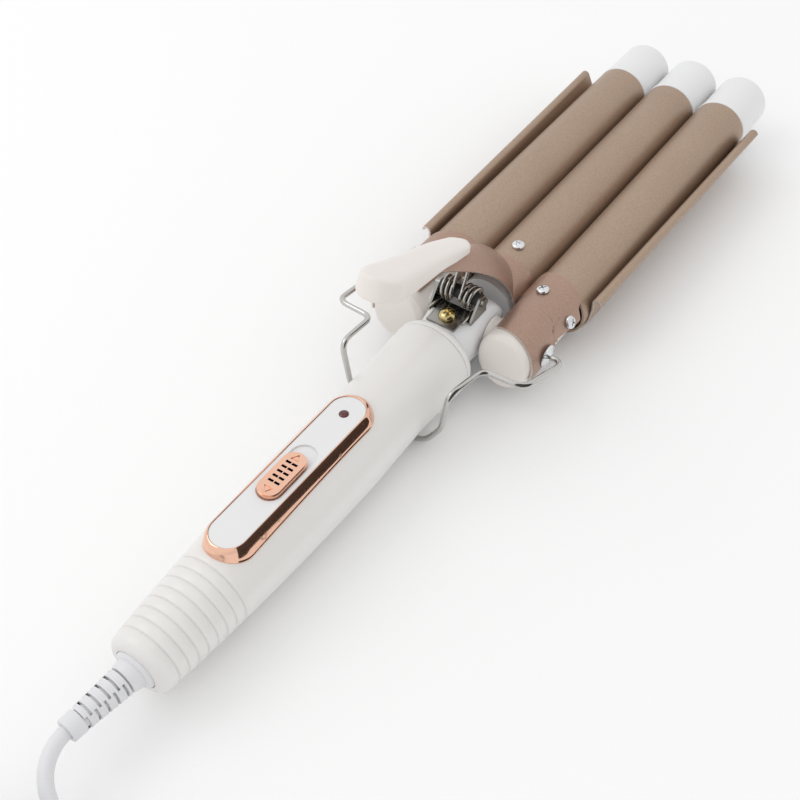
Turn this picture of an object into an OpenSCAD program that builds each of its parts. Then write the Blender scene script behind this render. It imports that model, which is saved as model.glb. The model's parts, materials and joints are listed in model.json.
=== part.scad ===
// Three-barrel hair waver lying on a table with its stand folded, millimetres, +Z up.
// Places are first written from the hinge axis, +X towards the barrel tips, +Y to the left,
// with Z = 0 on the barrel axes. put_down() then moves them so that the origin is on the
// table under the middle of the appliance, measured without its cord.

/* [Barrels] */
// Outer diameter of a barrel
barrel_d = 25; // [23:0.5:27]
// Gap between neighbouring barrels
barrel_gap = 0.5; // [0.5:0.1:1.5]
// Wall of a barrel tube
barrel_wall = 1; // [0.8:0.1:1.4]
// Length of a barrel tube
barrel_len = 150; // [120:1:170]
// Distance from the hinge axis to the barrel roots
barrel_root = 29; // [28:0.5:32]
// Diameter of a tip cap
cap_d = 24.4; // [20:0.2:24.6]
// Length of a tip cap beyond the barrel
cap_len = 28.5; // [18:0.5:36]
// Width of the rim round a tip cap
cap_rim = 2.6; // [1.5:0.1:4]
// Rounding at the end of a tip cap
cap_round = 3.2; // [1:0.1:5]
// Length of a cap's neck inside the barrel
cap_neck = 8; // [5:0.5:12]
// Free length that a heater leaves in its barrel
heater_free = 15; // [8:0.5:60]
// Thickness of a heating plate
ptc_t = 2.4; // [1.8:0.1:3]
// Width of a heating plate
ptc_w = 14; // [10:0.5:16]
// Wall of an aluminium heat spreader
spreader_wall = 1.4; // [1:0.1:2]

/* [Clamp plate] */
// Sheet thickness of the clamp plate
plate_t = 1; // [0.8:0.1:1.4]
// Clearance between a barrel and its trough
trough_gap = 0.7; // [0.5:0.1:1.2]
// Distance from the hinge axis to the near end of the plate
plate_near = 33; // [32:0.5:38]
// How much shorter the plate is than the barrels
plate_short = 7; // [2:0.5:30]
// How far the plate drops at its far end
plate_drop = 1.3; // [0.5:0.1:2]
// How far each side wall leans out at its far end
plate_splay = 3; // [0:0.1:4]
// Height of the side walls above the barrel axes
plate_wall_h = 6.4; // [4:0.1:8]
// Radius of the rolled rims
plate_rim_r = 2.1; // [1.8:0.1:2.8]

/* [Bridge and lever] */
// Sheet thickness of the barrel bridge
bridge_t = 1; // [0.8:0.1:1.2]
// Height of the tongue's tip above the barrel axes
tongue_h = 49; // [44:0.5:52]
// Distance of the tongue's tip behind the hinge axis
tongue_back = 26; // [22:0.5:28]
// Half the width of the tongue at its tip
tongue_tip_w = 3.5; // [2.5:0.1:4.5]
// Length of the thumb lever along its top
lever_len = 69; // [62:1:76]
// Largest half width of the thumb lever
lever_w = 9.2; // [8:0.1:11]
// Thickness of the thumb lever at its rear
lever_t = 9; // [7:0.1:11]
// Slope of the thumb lever
lever_slope = 24.5; // [22:0.5:26]
// Diameter of a small screw's head
screw_head_d = 5.4; // [5:0.1:6]
// Diameter of a small screw's shank
screw_d = 2.8; // [2.4:0.1:3.2]

/* [Hinge] */
// Height of the hinge axis above the barrel axes
hinge_z = 3.1; // [2.4:0.1:3.6]
// Half the width of the hub between the base plugs
hub_half = 12.3; // [11.6:0.1:12.4]
// Radius of the hub's round head
hub_r = 11; // [10:0.1:11.4]
// Diameter of a hinge journal
journal_d = 9; // [8:0.1:10]
// Length of a hinge journal in the hub
journal_len = 7; // [5:0.5:8]
// Radial clearance of a journal in its bore
journal_gap = 0.05; // [0.03:0.01:0.08]
// Diameter of the wire passage through a journal
journal_bore = 5.4; // [4.8:0.1:6]
// Diameter of the boss between a base plug and the hub
boss_d = 12.2; // [11.4:0.1:13]
// Diameter of a base plug
plug_base_d = 23.4; // [22.8:0.1:23.8]

/* [Spring] */
// Wire diameter of the closing spring
spring_wire = 1.4; // [1.2:0.1:1.5]
// Mean coil diameter of the closing spring
spring_d = 8.6; // [8.4:0.1:9.4]
// Turns in each of the spring's two coils
spring_turns = 3; // [3:1:3]
// Distance between neighbouring turns
spring_pitch = 1.9; // [1.9:0.02:2.04]
// Height of the spring's axis above the barrel axes
spring_z = 19.6; // [19.2:0.1:20.4]
// Diameter of the pin through the spring
spring_pin_d = 2.4; // [2:0.1:2.8]
// Thickness of the spring saddle
saddle_t = 1; // [0.8:0.1:1.2]

/* [Handle] */
// Radius of the handle at its front collar
collar_r = 17; // [16.8:0.1:17.6]
// Radius of the handle at its waist
waist_r = 15.95; // [15.6:0.05:16.4]
// Radius of the handle at its belly
belly_r = 16.8; // [16.6:0.1:17.2]
// Radius of the handle at its tail
tail_r = 12.4; // [12:0.1:13.4]
// Distance from the hinge axis to the tail end
tail_end = 190.5; // [188:0.5:196]
// Rounding of the tail end
tail_round = 3.6; // [2:0.1:4.5]
// Wall of the handle
handle_wall = 2.2; // [1.8:0.1:2.4]
// Length of the front collar
collar_len = 2.2; // [1.6:0.1:3]
// Distance from the hinge axis to the front of the collar
collar_x = 21.8; // [21.4:0.1:22.6]
// Number of grip grooves
groove_count = 8; // [4:1:8]
// Distance between grip grooves
groove_pitch = 4.3; // [3.6:0.1:4.4]
// Depth of a grip groove
groove_depth = 0.6; // [0.3:0.1:0.9]

/* [Control panel] */
// Length of the trim ring
trim_len = 84; // [78:0.5:86]
// Half the width of the trim ring
trim_half = 9.8; // [9.2:0.1:10.4]
// Width of the trim ring's band
trim_band = 3; // [2.4:0.1:3.4]
// Distance from the hinge axis to the front of the trim ring
trim_front = 67.6; // [66:0.5:70]
// Height of the panel above the barrel axes
panel_h = 18.6; // [18.2:0.1:19]
// Diameter of the indicator lens
lens_d = 3.6; // [2.6:0.1:4.4]
// Distance of the indicator lens behind the front of the trim ring
lens_back = 11.6; // [10:0.1:14]
// Length of the switch knob
knob_len = 22; // [18:0.5:24]
// Width of the switch knob
knob_w = 9.2; // [8:0.1:9.6]
// Height of the switch knob above the panel
knob_h = 1.9; // [1.2:0.1:2.6]
// Travel of the switch knob
knob_travel = 5; // [3:0.5:5.5]
// Distance of the knob's centre behind the front of the trim ring
knob_back = 46.4; // [44:0.5:48]
// Depth of the recess that the knob slides in
recess_depth = 0.8; // [0.5:0.1:1]

/* [Stand] */
// Diameter of the stand's wire
stand_d = 2.3; // [2:0.1:2.4]
// How far the stand's shoulders stand out from the washers
stand_out = 5.15; // [4.6:0.05:6.6]
// Distance of the stand's foot behind the hinge axis
stand_back = 48.5; // [46:0.5:52]
// Gap between the folded stand and the handle
stand_gap = 0.35; // [0.3:0.05:0.6]
// Diameter of the stand's star washers
washer_d = 9.6; // [8:0.1:10.4]

/* [Cord] */
// Diameter of the mains cord
cord_d = 5.2; // [5:0.1:5.4]
// Diameter of the strain relief at the handle
relief_d = 10.8; // [9:0.1:11.6]
// Diameter of the strain relief at the cord
relief_tip_d = 8.8; // [8:0.1:9.4]
// Length of the strain relief outside the handle
relief_len = 28; // [24:0.5:28]
// Number of ribs on the strain relief
rib_count = 8; // [5:1:8]
// Diameter of a plug pin
pin_d = 4; // [4:0.1:4.4]
// Length of a plug pin
pin_len = 19; // [17:0.5:20]
// Distance between the plug pins
pin_pitch = 18.6; // [18:0.1:19.2]
// Length of the plug's body
plug_len = 36; // [32:0.5:40]

/* [Hidden] */
$fn = 64;
eps = 0.01;
fit = 0.05;
barrel_r = barrel_d / 2;
pitch = barrel_d + barrel_gap;
barrel_tip = barrel_root + barrel_len;
cap_end = barrel_tip + cap_len;
bore_r = barrel_r - barrel_wall;
origin_x = (tail_end - cap_end) / 2;
stand_r = stand_d / 2;
foot_r = handle_r(stand_back) + stand_gap + stand_r;
axis_h = foot_r + stand_r;

module put_down() { translate([origin_x, 0, axis_h]) children(); }
module along_x(x0, x1, r, y = 0, z = 0) {
    translate([x0, y, z]) rotate([0, 90, 0]) cylinder(r = r, h = x1 - x0);
}
module along_y(y0, y1, r, x = 0, z = 0) {
    translate([x, y0, z]) rotate([-90, 0, 0]) cylinder(r = r, h = y1 - y0);
}
module turned(profile) { rotate([0, 90, 0]) rotate_extrude() polygon(profile); }
module both_sides() { children(); mirror([0, 1, 0]) children(); }
function mix(a, b, t) = a + (b - a) * t;
function ease(a, b, x) = let(t = max(0, min(1, (x - a) / (b - a)))) t * t * (3 - 2 * t);
function bezier(a, b, c, t) = (1 - t) * (1 - t) * a + 2 * t * (1 - t) * b + t * t * c;
function unit(v) = v / norm(v);

// A solid between two grids of points: rows of the upper face and rows of the lower face.
function grid_faces(n, m, o, flip) = [for (i = [0:n - 2], j = [0:m - 2])
    let(a = o + i * m + j, b = a + 1, c = a + m, d = c + 1)
    each flip ? [[a, c, b], [b, c, d]] : [[a, b, c], [b, d, c]]];
module sheet(upper, lower) {
    n = len(upper);
    m = len(upper[0]);
    o = n * m;
    rim = concat([for (j = [0:m - 1]) j], [for (i = [1:n - 1]) i * m + m - 1],
                 [for (j = [m - 2:-1:0]) (n - 1) * m + j], [for (i = [n - 2:-1:1]) i * m]);
    sides = [for (k = [0:len(rim) - 1]) let(a = rim[k], b = rim[(k + 1) % len(rim)])
             each [[a, b + o, b], [a, a + o, b + o]]];
    polyhedron(concat([for (r = upper) each r], [for (r = lower) each r]),
               concat(grid_faces(n, m, 0, false), grid_faces(n, m, o, true), sides));
}

// A tube of even thickness along a list of points.
function tangents(p) = [for (i = [0:len(p) - 1])
    unit(p[min(i + 1, len(p) - 1)] - p[max(i - 1, 0)])];
function normals(t, n0) = [for (i = 0, n = unit(n0 - (n0 * t[0]) * t[0]); i < len(t);
    i = i + 1, n = i < len(t) ? unit(n - (n * t[i]) * t[i]) : n) n];
module tube(p, r, sides, n0 = [0, 0, 1]) {
    t = tangents(p);
    n = normals(t, n0);
    k = len(p);
    ring = [for (i = [0:k - 1], s = [0:sides - 1]) let(a = s * 360 / sides)
            p[i] + r * (cos(a) * n[i] + sin(a) * cross(t[i], n[i]))];
    skin = [for (i = [0:k - 2], s = [0:sides - 1])
            let(a = i * sides + s, b = i * sides + (s + 1) % sides)
            each [[a, a + sides, b], [b, a + sides, b + sides]]];
    ends = [for (s = [1:sides - 2]) each [[0, s, s + 1],
            [(k - 1) * sides, (k - 1) * sides + s + 1, (k - 1) * sides + s]]];
    polyhedron(ring, concat(skin, ends));
}
// A path through corners [point, bend radius], each corner rounded by a short curve
function rounded(c) = concat([c[0][0]], [for (i = [1:len(c) - 2]) let(p = c[i][0],
    a = unit(c[i - 1][0] - p), b = unit(c[i + 1][0] - p), half = acos(a * b) / 2,
    d = min(c[i][1] / tan(half), 0.46 * norm(c[i - 1][0] - p), 0.46 * norm(c[i + 1][0] - p)))
    for (t = [0:0.2:1.001]) bezier(p + d * a, p, p + d * b, t)], [c[len(c) - 1][0]]);
function least_gap(p, skip, d) = min([for (i = [0:len(p) - 1 - skip], j = [i + skip:len(p) - 1])
    norm(p[i] - p[j])]) - d;

// ---- barrels
module barrel(y) {
    color([0.62, 0.52, 0.46]) put_down() difference() {
        along_x(barrel_root, barrel_tip, barrel_r, y);
        along_x(barrel_root - eps, barrel_tip + eps, bore_r, y);
        if (y == 0) translate([tube_screw_x, 0, 0]) cylinder(r = screw_d / 2 + fit, h = barrel_d);
    }
}
module barrel_left() { barrel(pitch); }
module barrel_middle() { barrel(0); }
module barrel_right() { barrel(-pitch); }

rim_r = barrel_r + barrel_gap / 2 - 0.1;
module tip_cap(y) {
    r = cap_d / 2;
    inner = r - 1.6;
    arc = [for (a = [0:15:90]) [r, cap_len] - cap_round * [1 - cos(a), 1 - sin(a)]];
    color([0.93, 0.93, 0.94]) put_down() translate([barrel_tip, y, 0]) turned(concat(
        [[bore_r - fit, -cap_neck], [bore_r - fit, 0], [rim_r, 0], [rim_r, cap_rim], [r, cap_rim + 0.3]],
        arc, [[0, cap_len], [0, cap_len - 1.8], [inner - 2, cap_len - 1.8], [inner, cap_len - 4],
        [inner - 0.8, cap_rim], [bore_r - 1.8, -cap_neck]]));
}
module tip_cap_left() { tip_cap(pitch); }
module tip_cap_middle() { tip_cap(0); }
module tip_cap_right() { tip_cap(-pitch); }

spigot_end = barrel_root + 17;
ptc_len = barrel_tip - cap_neck - spigot_end - 6 - heater_free;
heater_x = spigot_end + heater_free / 3;
spreader_r = bore_r - 0.1;
module heat_spreader(y) {
    color([0.78, 0.79, 0.8]) put_down() translate([heater_x, y, 0]) for (s = [0, 180]) rotate([s, 0, 0])
        difference() {
            along_x(0, ptc_len + 6, spreader_r);
            along_x(-eps, ptc_len + 6 + eps, spreader_r - spreader_wall);
            translate([-1, -barrel_r, ptc_t / 2 - barrel_d]) cube([ptc_len + 8, barrel_d, barrel_d]);
        }
    color([0.78, 0.79, 0.8]) put_down() translate([heater_x, y, 0]) for (s = [-1, 1])
        translate([0, -sqrt(pow(spreader_r - spreader_wall + 0.3, 2) - pow(ptc_t / 2 + spreader_wall, 2)),
                   s > 0 ? ptc_t / 2 : -ptc_t / 2 - spreader_wall])
            cube([ptc_len + 6, 2 * sqrt(pow(spreader_r - spreader_wall + 0.3, 2)
                 - pow(ptc_t / 2 + spreader_wall, 2)), spreader_wall]);
}
module heat_spreader_left() { heat_spreader(pitch); }
module heat_spreader_middle() { heat_spreader(0); }
module heat_spreader_right() { heat_spreader(-pitch); }
module heating_plate(y) {
    color([0.9, 0.88, 0.8]) put_down()
        translate([heater_x + 3, y - ptc_w / 2, -ptc_t / 2]) cube([ptc_len, ptc_w, ptc_t]);
}
module heating_plate_left() { heating_plate(pitch); }
module heating_plate_middle() { heating_plate(0); }
module heating_plate_right() { heating_plate(-pitch); }

// ---- base plugs: each closes a barrel's root and carries a hinge journal
plug_rear = 10.6;
plug_y = pitch - 0.6;
plug_z = 1.9;
plug_base_r = plug_base_d / 2;
neck_r = plug_base_r - 0.9;
tube_screw_x = barrel_root + 10.8;
module base_plug_side() {
    end = [[0, -plug_rear - 2.4], [plug_base_r - 2, -plug_rear - 2.4],
           [plug_base_r - 0.6, -plug_rear - 1.6], [plug_base_r, -plug_rear], [plug_base_r, 4], [0, 4]];
    difference() {
        union() {
            translate([0, plug_y, plug_z]) turned(end);
            along_x(3, barrel_root - 1, neck_r, plug_y, plug_z - 0.6);
            along_x(barrel_root - 3, spigot_end, bore_r - fit, pitch);
            along_y(hub_half + 0.2, plug_y, boss_d / 2, 0, hinge_z);
            along_y(hub_half - journal_len, plug_y, journal_d / 2, 0, hinge_z);
        }
        along_y(hub_half - journal_len - eps, plug_y - 1, journal_bore / 2, 0, hinge_z);
        along_y(plug_y + 3, plug_y + barrel_d, stand_r + fit, 0, hinge_z);
        along_x(-1, spigot_end + eps, journal_bore / 2, plug_y - 2, hinge_z);
        for (s = screw_sites) screw_hole(s);
    }
}
module base_plug_left() { color([0.92, 0.91, 0.9]) put_down() base_plug_side(); }
module base_plug_right() { color([0.92, 0.91, 0.9]) put_down() mirror([0, 1, 0]) base_plug_side(); }
module base_plug_middle() {
    start = hub_r + 4.6;
    color([0.92, 0.91, 0.9]) put_down() difference() {
        union() {
            along_x(start, barrel_root + eps, plug_base_r - 0.6, 0, 0);
            along_x(barrel_root, spigot_end, bore_r - fit, 0, 0);
        }
        translate([start + 6, 0, 0]) turned([[0, 0], [6, 0], [6, spigot_end], [0, spigot_end]]);
        translate([tube_screw_x, 0, 0]) cylinder(r = screw_d / 2 + fit, h = barrel_d);
    }
}

// ---- barrel bridge: one pressed sheet over the three barrel roots, with the tongue
sheet_in = barrel_r + 0.1;
valley = 74;
slot_x = 17;
band_front = 32;
sleeve_rear = 7;
function near_plug(x) = 1 - ease(6, 24, x);
function sleeve_r(x) = mix(sheet_in, plug_base_r + 0.1, near_plug(x));
function sleeve_y(x) = mix(pitch, plug_y, near_plug(x));
function sleeve_z(x) = plug_z * near_plug(x);
// A point over a side barrel: a is the angle from straight up, positive towards the middle
function sleeve_at(x, a, t) = let(r = sleeve_r(x) + t)
    [x, sleeve_y(x) - r * sin(a), sleeve_z(x) + r * cos(a)];
function side_front(a) = band_front + 0.3 + 0.06 * min(a, 38)
    - 3.5 * ease(45, 58, -a) - 2.6 * ease(38, 70, a);
function side_rear(a) = -sleeve_rear + 0.045 * a;
function inner_edge(x) = mix(34, 41, (x + sleeve_rear) / (slot_x + sleeve_rear))
    + (valley - 42) * ease(slot_x, slot_x + 1.4, x);
function outer_edge(x) = -75 - 31 * (1 - ease(4, 7, x));
sleeve_steps = [0, 0.1, 0.2, 0.27, 0.31, 0.35, 0.42, 0.5, 0.56,
    0.6, 0.61, 0.62, 0.63, 0.64, 0.7, 0.78, 0.86, 0.93, 1];
function sleeve_row(t, u) = let(x = mix(-sleeve_rear, band_front, u))
    [for (i = [16:-1:0]) let(a = mix(outer_edge(x), inner_edge(x), i / 16))
        sleeve_at(mix(side_rear(a), side_front(a), u), a, t)];
module bridge_sleeve() {
    sheet([for (u = sleeve_steps) sleeve_row(bridge_t, u)], [for (u = sleeve_steps) sleeve_row(0, u)]);
}
// The saddle's rear edge runs just behind the tongue's root
function saddle_rear(a) = tongue_at(0, (sheet_in + bridge_t / 2) * sin(a) / tongue_root).x - 1.2;
function saddle_row(t, u) = [for (i = [12:-1:-12]) let(a = i * valley / 12)
    [mix(saddle_rear(a), band_front - 0.5, u), -(sheet_in + t) * sin(a), (sheet_in + t) * cos(a)]];
module bridge_saddle() {
    sheet([for (u = [0, 0.5, 1]) saddle_row(bridge_t, u)], [for (u = [0, 0.5, 1]) saddle_row(0, u)]);
}
// The tongue rises from the saddle: its centre line and its edges are two curves.
lever_tip = [2.4, 40.8];
lever_front = 5;
tongue_root = 11.8;
function tongue_mid(s) = bezier([28, 13.2], [11, 42.5], [-tongue_back, tongue_h], s);
function tongue_edge(s) = bezier([17.5, 6], [9, 30], [-tongue_back - 0.5, tongue_h - 0.8], s);
function tongue_half(s) = mix(tongue_root, tongue_tip_w, pow(s, 2.2));
function tongue_at(s, v) = let(q = mix(tongue_mid(s), tongue_edge(s), v * v))
    [q.x, v * tongue_half(s), q.y];
function tongue_up(s, v) = unit(cross(tongue_at(s, v + 0.05) - tongue_at(s, v - 0.05),
    tongue_at(s + 0.02, v) - tongue_at(max(0, s - 0.02), v)));
function tongue_row(s, t) = [for (i = [6:-1:-6]) tongue_at(s, i / 6) + t * tongue_up(s, i / 6)];
root_steps = [0, 0.08, 0.17, 0.27];
tip_steps = [0.38, 0.5, 0.62, 0.74, 0.87, 1];
tongue_steps = concat(root_steps, tip_steps);
module tongue() {
    sheet([for (s = tongue_steps) tongue_row(s, 0)], [for (s = tongue_steps) tongue_row(s, -bridge_t)]);
}
// Everything under the tongue's upper face, to be cut out of the lever
module tongue_below() {
    steps = concat(tip_steps, [1.03]);
    sheet([for (s = steps) tongue_row(s, 2 * fit)],
          [for (s = steps) [for (q = tongue_row(s, 0)) q - [0, 0, 24]]]);
}
module barrel_bridge() {
    color([0.6, 0.47, 0.41]) put_down() difference() {
        union() {
            bridge_saddle();
            both_sides() bridge_sleeve();
            tongue();
        }
        both_sides() for (s = screw_sites) screw_hole(s);
        both_sides() along_y(plug_y, plug_y + barrel_d, stand_r + 0.25, 0, hinge_z);
        for (u = rivet_sites) rivet_at(u) cylinder(r = screw_d / 2 + fit, h = 12, center = true);
    }
}

// ---- small screws: [distance from the hinge, angle from straight up] on a sleeve
screw_sites = [[21, 12], [17.6, -62]];
seat_air = 0.12;
// How far the sleeve dips towards the barrels at a screw
function sleeve_dip(s) = -asin((sleeve_at(s[0] + 2, s[1], 0) - sleeve_at(s[0] - 2, s[1], 0))
    * [0, -sin(s[1]), cos(s[1])] / 4);
module on_sleeve(s) {
    translate(sleeve_at(s[0], s[1], bridge_t)) rotate([s[1], 0, 0]) rotate([0, sleeve_dip(s), 0])
        translate([0, 0, seat_air]) children();
}
module screw_hole(s) { on_sleeve(s) translate([0, 0, -12]) cylinder(r = screw_d / 2 + fit, h = 16); }
module small_screw(l) {
    r = screw_head_d / 2;
    difference() {
        union() {
            rotate_extrude() polygon([[0, fit], [r, fit], [r, 0.7], [r - 0.35, 1.2],
                [r - 1.1, 1.6], [0, 1.8]]);
            translate([0, 0, -l]) cylinder(r = screw_d / 2, h = l + 0.5);
        }
        for (a = [0, 90]) rotate([0, 0, a]) translate([-1.6, -0.35, 0.9]) cube([3.2, 0.7, 2]);
    }
}
module bridge_screws() {
    color([0.75, 0.75, 0.76]) put_down() {
        both_sides() for (s = screw_sites) on_sleeve(s) small_screw(5.5);
        translate([tube_screw_x, 0, barrel_r]) small_screw(4);
    }
}

// ---- thumb lever and its screws
// Lever frame: u runs back along the slope, w stands square to it
module in_lever() { translate([lever_tip.x, 0, lever_tip.y]) rotate([0, -lever_slope, 180]) children(); }
rivet_sites = [0.78, 0.94];
module rivet_at(s) {
    m = tongue_mid(s);
    d = tongue_mid(s + 0.05) - tongue_mid(s - 0.05);
    translate([m.x, 0, m.y]) rotate([0, atan(-d.y / d.x), 0]) children();
}
// Stations along the lever: [distance, half width, height of the top, height of the underside]
lever_stations = [[lever_front + 5, 5, 2, -2], [lever_len * 0.3, 6.2, 2.2, -3],
    [lever_len * 0.58, lever_w * 0.76, 1.2, -6.4], [lever_len - lever_w + 0.6, lever_w - 0.6, 0, -lever_t]];
module lever_solid() {
    edge = 0.9;
    hull() for (q = lever_stations) translate([q[0], 0, q[3]]) {
        cylinder(r = q[1] - edge, h = q[2] - q[3], $fn = 36);
        translate([0, 0, 3 * edge]) cylinder(r = q[1], h = q[2] - q[3] - 4 * edge, $fn = 36);
    }
}
module thumb_lever() {
    color([0.94, 0.92, 0.9]) put_down() difference() {
        in_lever() lever_solid();
        tongue_below();
        for (s = rivet_sites) rivet_at(s) translate([0, 0, -8]) cylinder(r = screw_d / 2 + fit, h = 11);
    }
}
module lever_screws() {
    color([0.75, 0.75, 0.76]) put_down() for (s = rivet_sites)
        rivet_at(s) translate([0, 0, -bridge_t - 1.2]) rotate([180, 0, 0]) small_screw(4.4);
}

// ---- hub: fixed head between the base plugs, with the two hinge bores
neck_up = 1.6;
saddle_seat = neck_up + hub_half - 0.8;
spigot_len = 20;
spigot_r = handle_r(collar_x + spigot_len) - handle_wall - 0.3;
saddle_cut = 3.4;
module hub() {
    color([0.92, 0.92, 0.93]) put_down() difference() {
        union() {
            along_y(-hub_half, hub_half, hub_r, 0, hinge_z);
            intersection() {
                along_x(-collar_x, 0, hub_half, 0, neck_up);
                translate([-collar_x, -hub_half, -hub_half])
                    cube([collar_x, 2 * hub_half, 2 * hub_half + 2]);
            }
            translate([-collar_x, -hub_half, -11]) cube([collar_x, 2 * hub_half, neck_up + 11]);
            translate([-collar_x, 0, 0]) turned([[0, 0], [collar_r - 0.5, 0], [collar_r - 1, 1.4],
                [collar_r - 2.6, 2.6], [hub_half, 3.4], [0, 3.4]]);
            along_x(-collar_x - collar_len, -collar_x + eps, collar_r - handle_wall - fit);
            along_x(-collar_x - spigot_len, -collar_x, spigot_r);
        }
        both_sides() along_y(hub_half - journal_len - 0.6, hub_half + eps,
            journal_d / 2 + journal_gap, 0, hinge_z);
        along_y(-hub_half, hub_half, journal_bore / 2, 0, hinge_z);
        along_x(-collar_x - spigot_len - 1, 0, journal_bore / 2 + 1.2, 0, hinge_z);
        translate([-collar_x + 3.6, -hub_half - 1, saddle_seat])
            cube([spring_x + saddle_cut + collar_x - 3.6, 2 * hub_half + 2, 9]);
        translate([saddle_screw_x, 0, saddle_seat - 8]) cylinder(r = saddle_screw_r + fit, h = 10);
        for (x = carrier_screws_x) translate([x, 0, -14]) cylinder(r = screw_d / 2 + fit, h = 9);
        for (s = [-1, 1]) hub_screw_place(s) cylinder(r = screw_d / 2 + fit, h = 20, center = true);
    }
}
hub_screw_x = collar_x + collar_len + 7;
hub_screw_head = 2.4;
module hub_screw_place(s) {
    seat = handle_r(hub_screw_x) - 1.3;
    translate([-hub_screw_x, s * seat, 0]) rotate([-90 * s, 0, 0]) children();
}
module hub_screws() {
    color([0.75, 0.75, 0.76]) put_down() for (s = [-1, 1]) hub_screw_place(s) {
        cylinder(r = hub_screw_head, h = 1.1);
        translate([0, 0, -6]) cylinder(r = screw_d / 2, h = 6 + eps);
    }
}

// ---- closing spring on its saddle
spring_x = -3.5;
spring_r = spring_d / 2;
coil_in = 2;
coil_out = coil_in + spring_turns * spring_pitch;
saddle_screw_x = -12.6;
saddle_screw_r = 1.6;
saddle_ear = coil_out + spring_wire / 2 + 0.5;
saddle_back = -18;
module spring_saddle() {
    plate_z = saddle_seat;
    color([0.7, 0.7, 0.69]) put_down() difference() {
        union() {
            translate([saddle_back, -6.4, plate_z]) cube([-saddle_back + spring_x - 2, 12.8, saddle_t]);
            both_sides() translate([spring_x - 8, 6, plate_z])
                cube([8, saddle_ear - 6 + saddle_t, saddle_t]);
            both_sides() hull() {
                translate([spring_x - 8, saddle_ear, plate_z]) cube([11, saddle_t, saddle_t]);
                along_y(saddle_ear, saddle_ear + saddle_t, 2.6, spring_x, spring_z);
            }
        }
        translate([saddle_screw_x, 0, plate_z - 1]) cylinder(r = saddle_screw_r + fit, h = 4);
        along_y(-saddle_ear - 4, saddle_ear + 4, spring_pin_d / 2 + 0.02, spring_x, spring_z);
        both_sides() translate([spring_x - 1, saddle_ear - 0.4 - 4, plate_z - eps]) cube([5, 4, 1.2]);
    }
}
module saddle_screw() {
    color([0.72, 0.62, 0.3]) put_down() translate([saddle_screw_x, 0, saddle_seat + saddle_t]) {
        rotate_extrude() polygon(concat([[0, 0], [3.8, 0]],
            [for (a = [10:20:90]) [3.8 * cos(a), 0.5 + 2.1 * sin(a)]]));
        translate([0, 0, -7.4]) cylinder(r = saddle_screw_r, h = 7.6);
    }
}
module spring_pin() {
    l = saddle_ear + saddle_t + 0.8;
    color([0.75, 0.75, 0.76]) put_down() {
        along_y(-l, l, spring_pin_d / 2, spring_x, spring_z);
        both_sides() along_y(l - 0.8 + 0.05, l + 0.4, spring_pin_d / 2 + 0.8, spring_x, spring_z);
    }
}
bush_r = spring_r - spring_wire / 2 - 0.9;
module spring_bush() {
    color([0.35, 0.35, 0.36]) put_down() difference() {
        along_y(-saddle_ear + 0.2, saddle_ear - 0.2, bush_r, spring_x, spring_z);
        along_y(-saddle_ear, saddle_ear, spring_pin_d / 2 + fit, spring_x, spring_z);
    }
}
// Half of the spring: its leg on the saddle, one coil, and its arm up to the tongue
leg_len = 11;
arm_top = spring_reach(0.56);
function spring_reach(s) = let(air = bridge_t + spring_wire / 2 + 0.75,
    q = tongue_at(s, 0) - air * tongue_up(s, 0)) [q.x, q.z];
function spring_half(n) = let(start = -90, sweep = 360 * spring_turns - 90) concat(
    [for (i = [0:3]) [spring_x - leg_len + i * leg_len / 4, coil_out, spring_z - spring_r]],
    [for (i = [0:n * spring_turns]) let(f = i / (n * spring_turns), a = start + f * sweep)
        [spring_x + spring_r * cos(a), mix(coil_out, coil_in, f), spring_z + spring_r * sin(a)]],
    [for (i = [1:4]) [mix(spring_x - spring_r, arm_top.x, i / 4), coil_in,
        mix(spring_z, arm_top.y, i / 4)]]);
function spring_path(n) = let(h = spring_half(n))
    concat(h, [for (i = [len(h) - 1:-1:0]) [h[i].x, -h[i].y, h[i].z]]);
module closing_spring() {
    p = spring_path(8);
    echo("least gap of the spring to itself", least_gap(p, 7, spring_wire));
    color([0.66, 0.66, 0.65]) put_down() tube(p, spring_wire / 2, 6, [0, 0, 1]);
}

// ---- clamp plate: one pressed sheet under the barrels, and the carrier that holds it
trough_r = barrel_r + trough_gap;
plate_len = barrel_len - plate_short;
ridge = 72;
wall_y = pitch + trough_r;
// Half of the plate's section: t is 0 on the upper face, u runs from 0 to 1 along the plate
function plate_row(t, u) = let(r = trough_r + t, lean = plate_splay * u, curl = plate_rim_r - t)
    [for (q = concat([for (a = [0:12:ridge]) [r * sin(a), -r * cos(a)]],
        [for (a = [-ridge:12:90]) [pitch + r * sin(a), -r * cos(a)]],
        [for (h = [0.5, 1]) [wall_y + t + 0.1 + lean * h, plate_wall_h * h]],
        [for (a = [30:30:180]) [wall_y + 0.1 + lean + plate_rim_r - curl * cos(a),
            plate_wall_h + curl * sin(a)]]))
        [q.x, q.y - plate_drop * u]];
function full_row(t, u) = let(h = plate_row(t, u), x = plate_near + plate_len * u)
    concat([for (i = [len(h) - 1:-1:1]) [x, -h[i].x, h[i].y]], [for (q = h) [x, q.x, q.y]]);
module clamp_plate() {
    color([0.62, 0.52, 0.46]) put_down() difference() {
        sheet([for (u = [0, 1]) full_row(0, u)], [for (u = [0, 1]) full_row(plate_t, u)]);
        for (y = carrier_rivets_y) translate([carrier_rivet_x, y, -barrel_d])
            cylinder(r = screw_d / 2 + fit, h = 20);
    }
}
carrier_t = 1.6;
carrier_top = -trough_r - plate_t - plate_drop * 14 / plate_len - 0.1;
carrier_rivet_x = plate_near + 9;
carrier_rivets_y = [-pitch, 0, pitch];
carrier_screws_x = [-12, -4];
carrier_half = 8;
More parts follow.
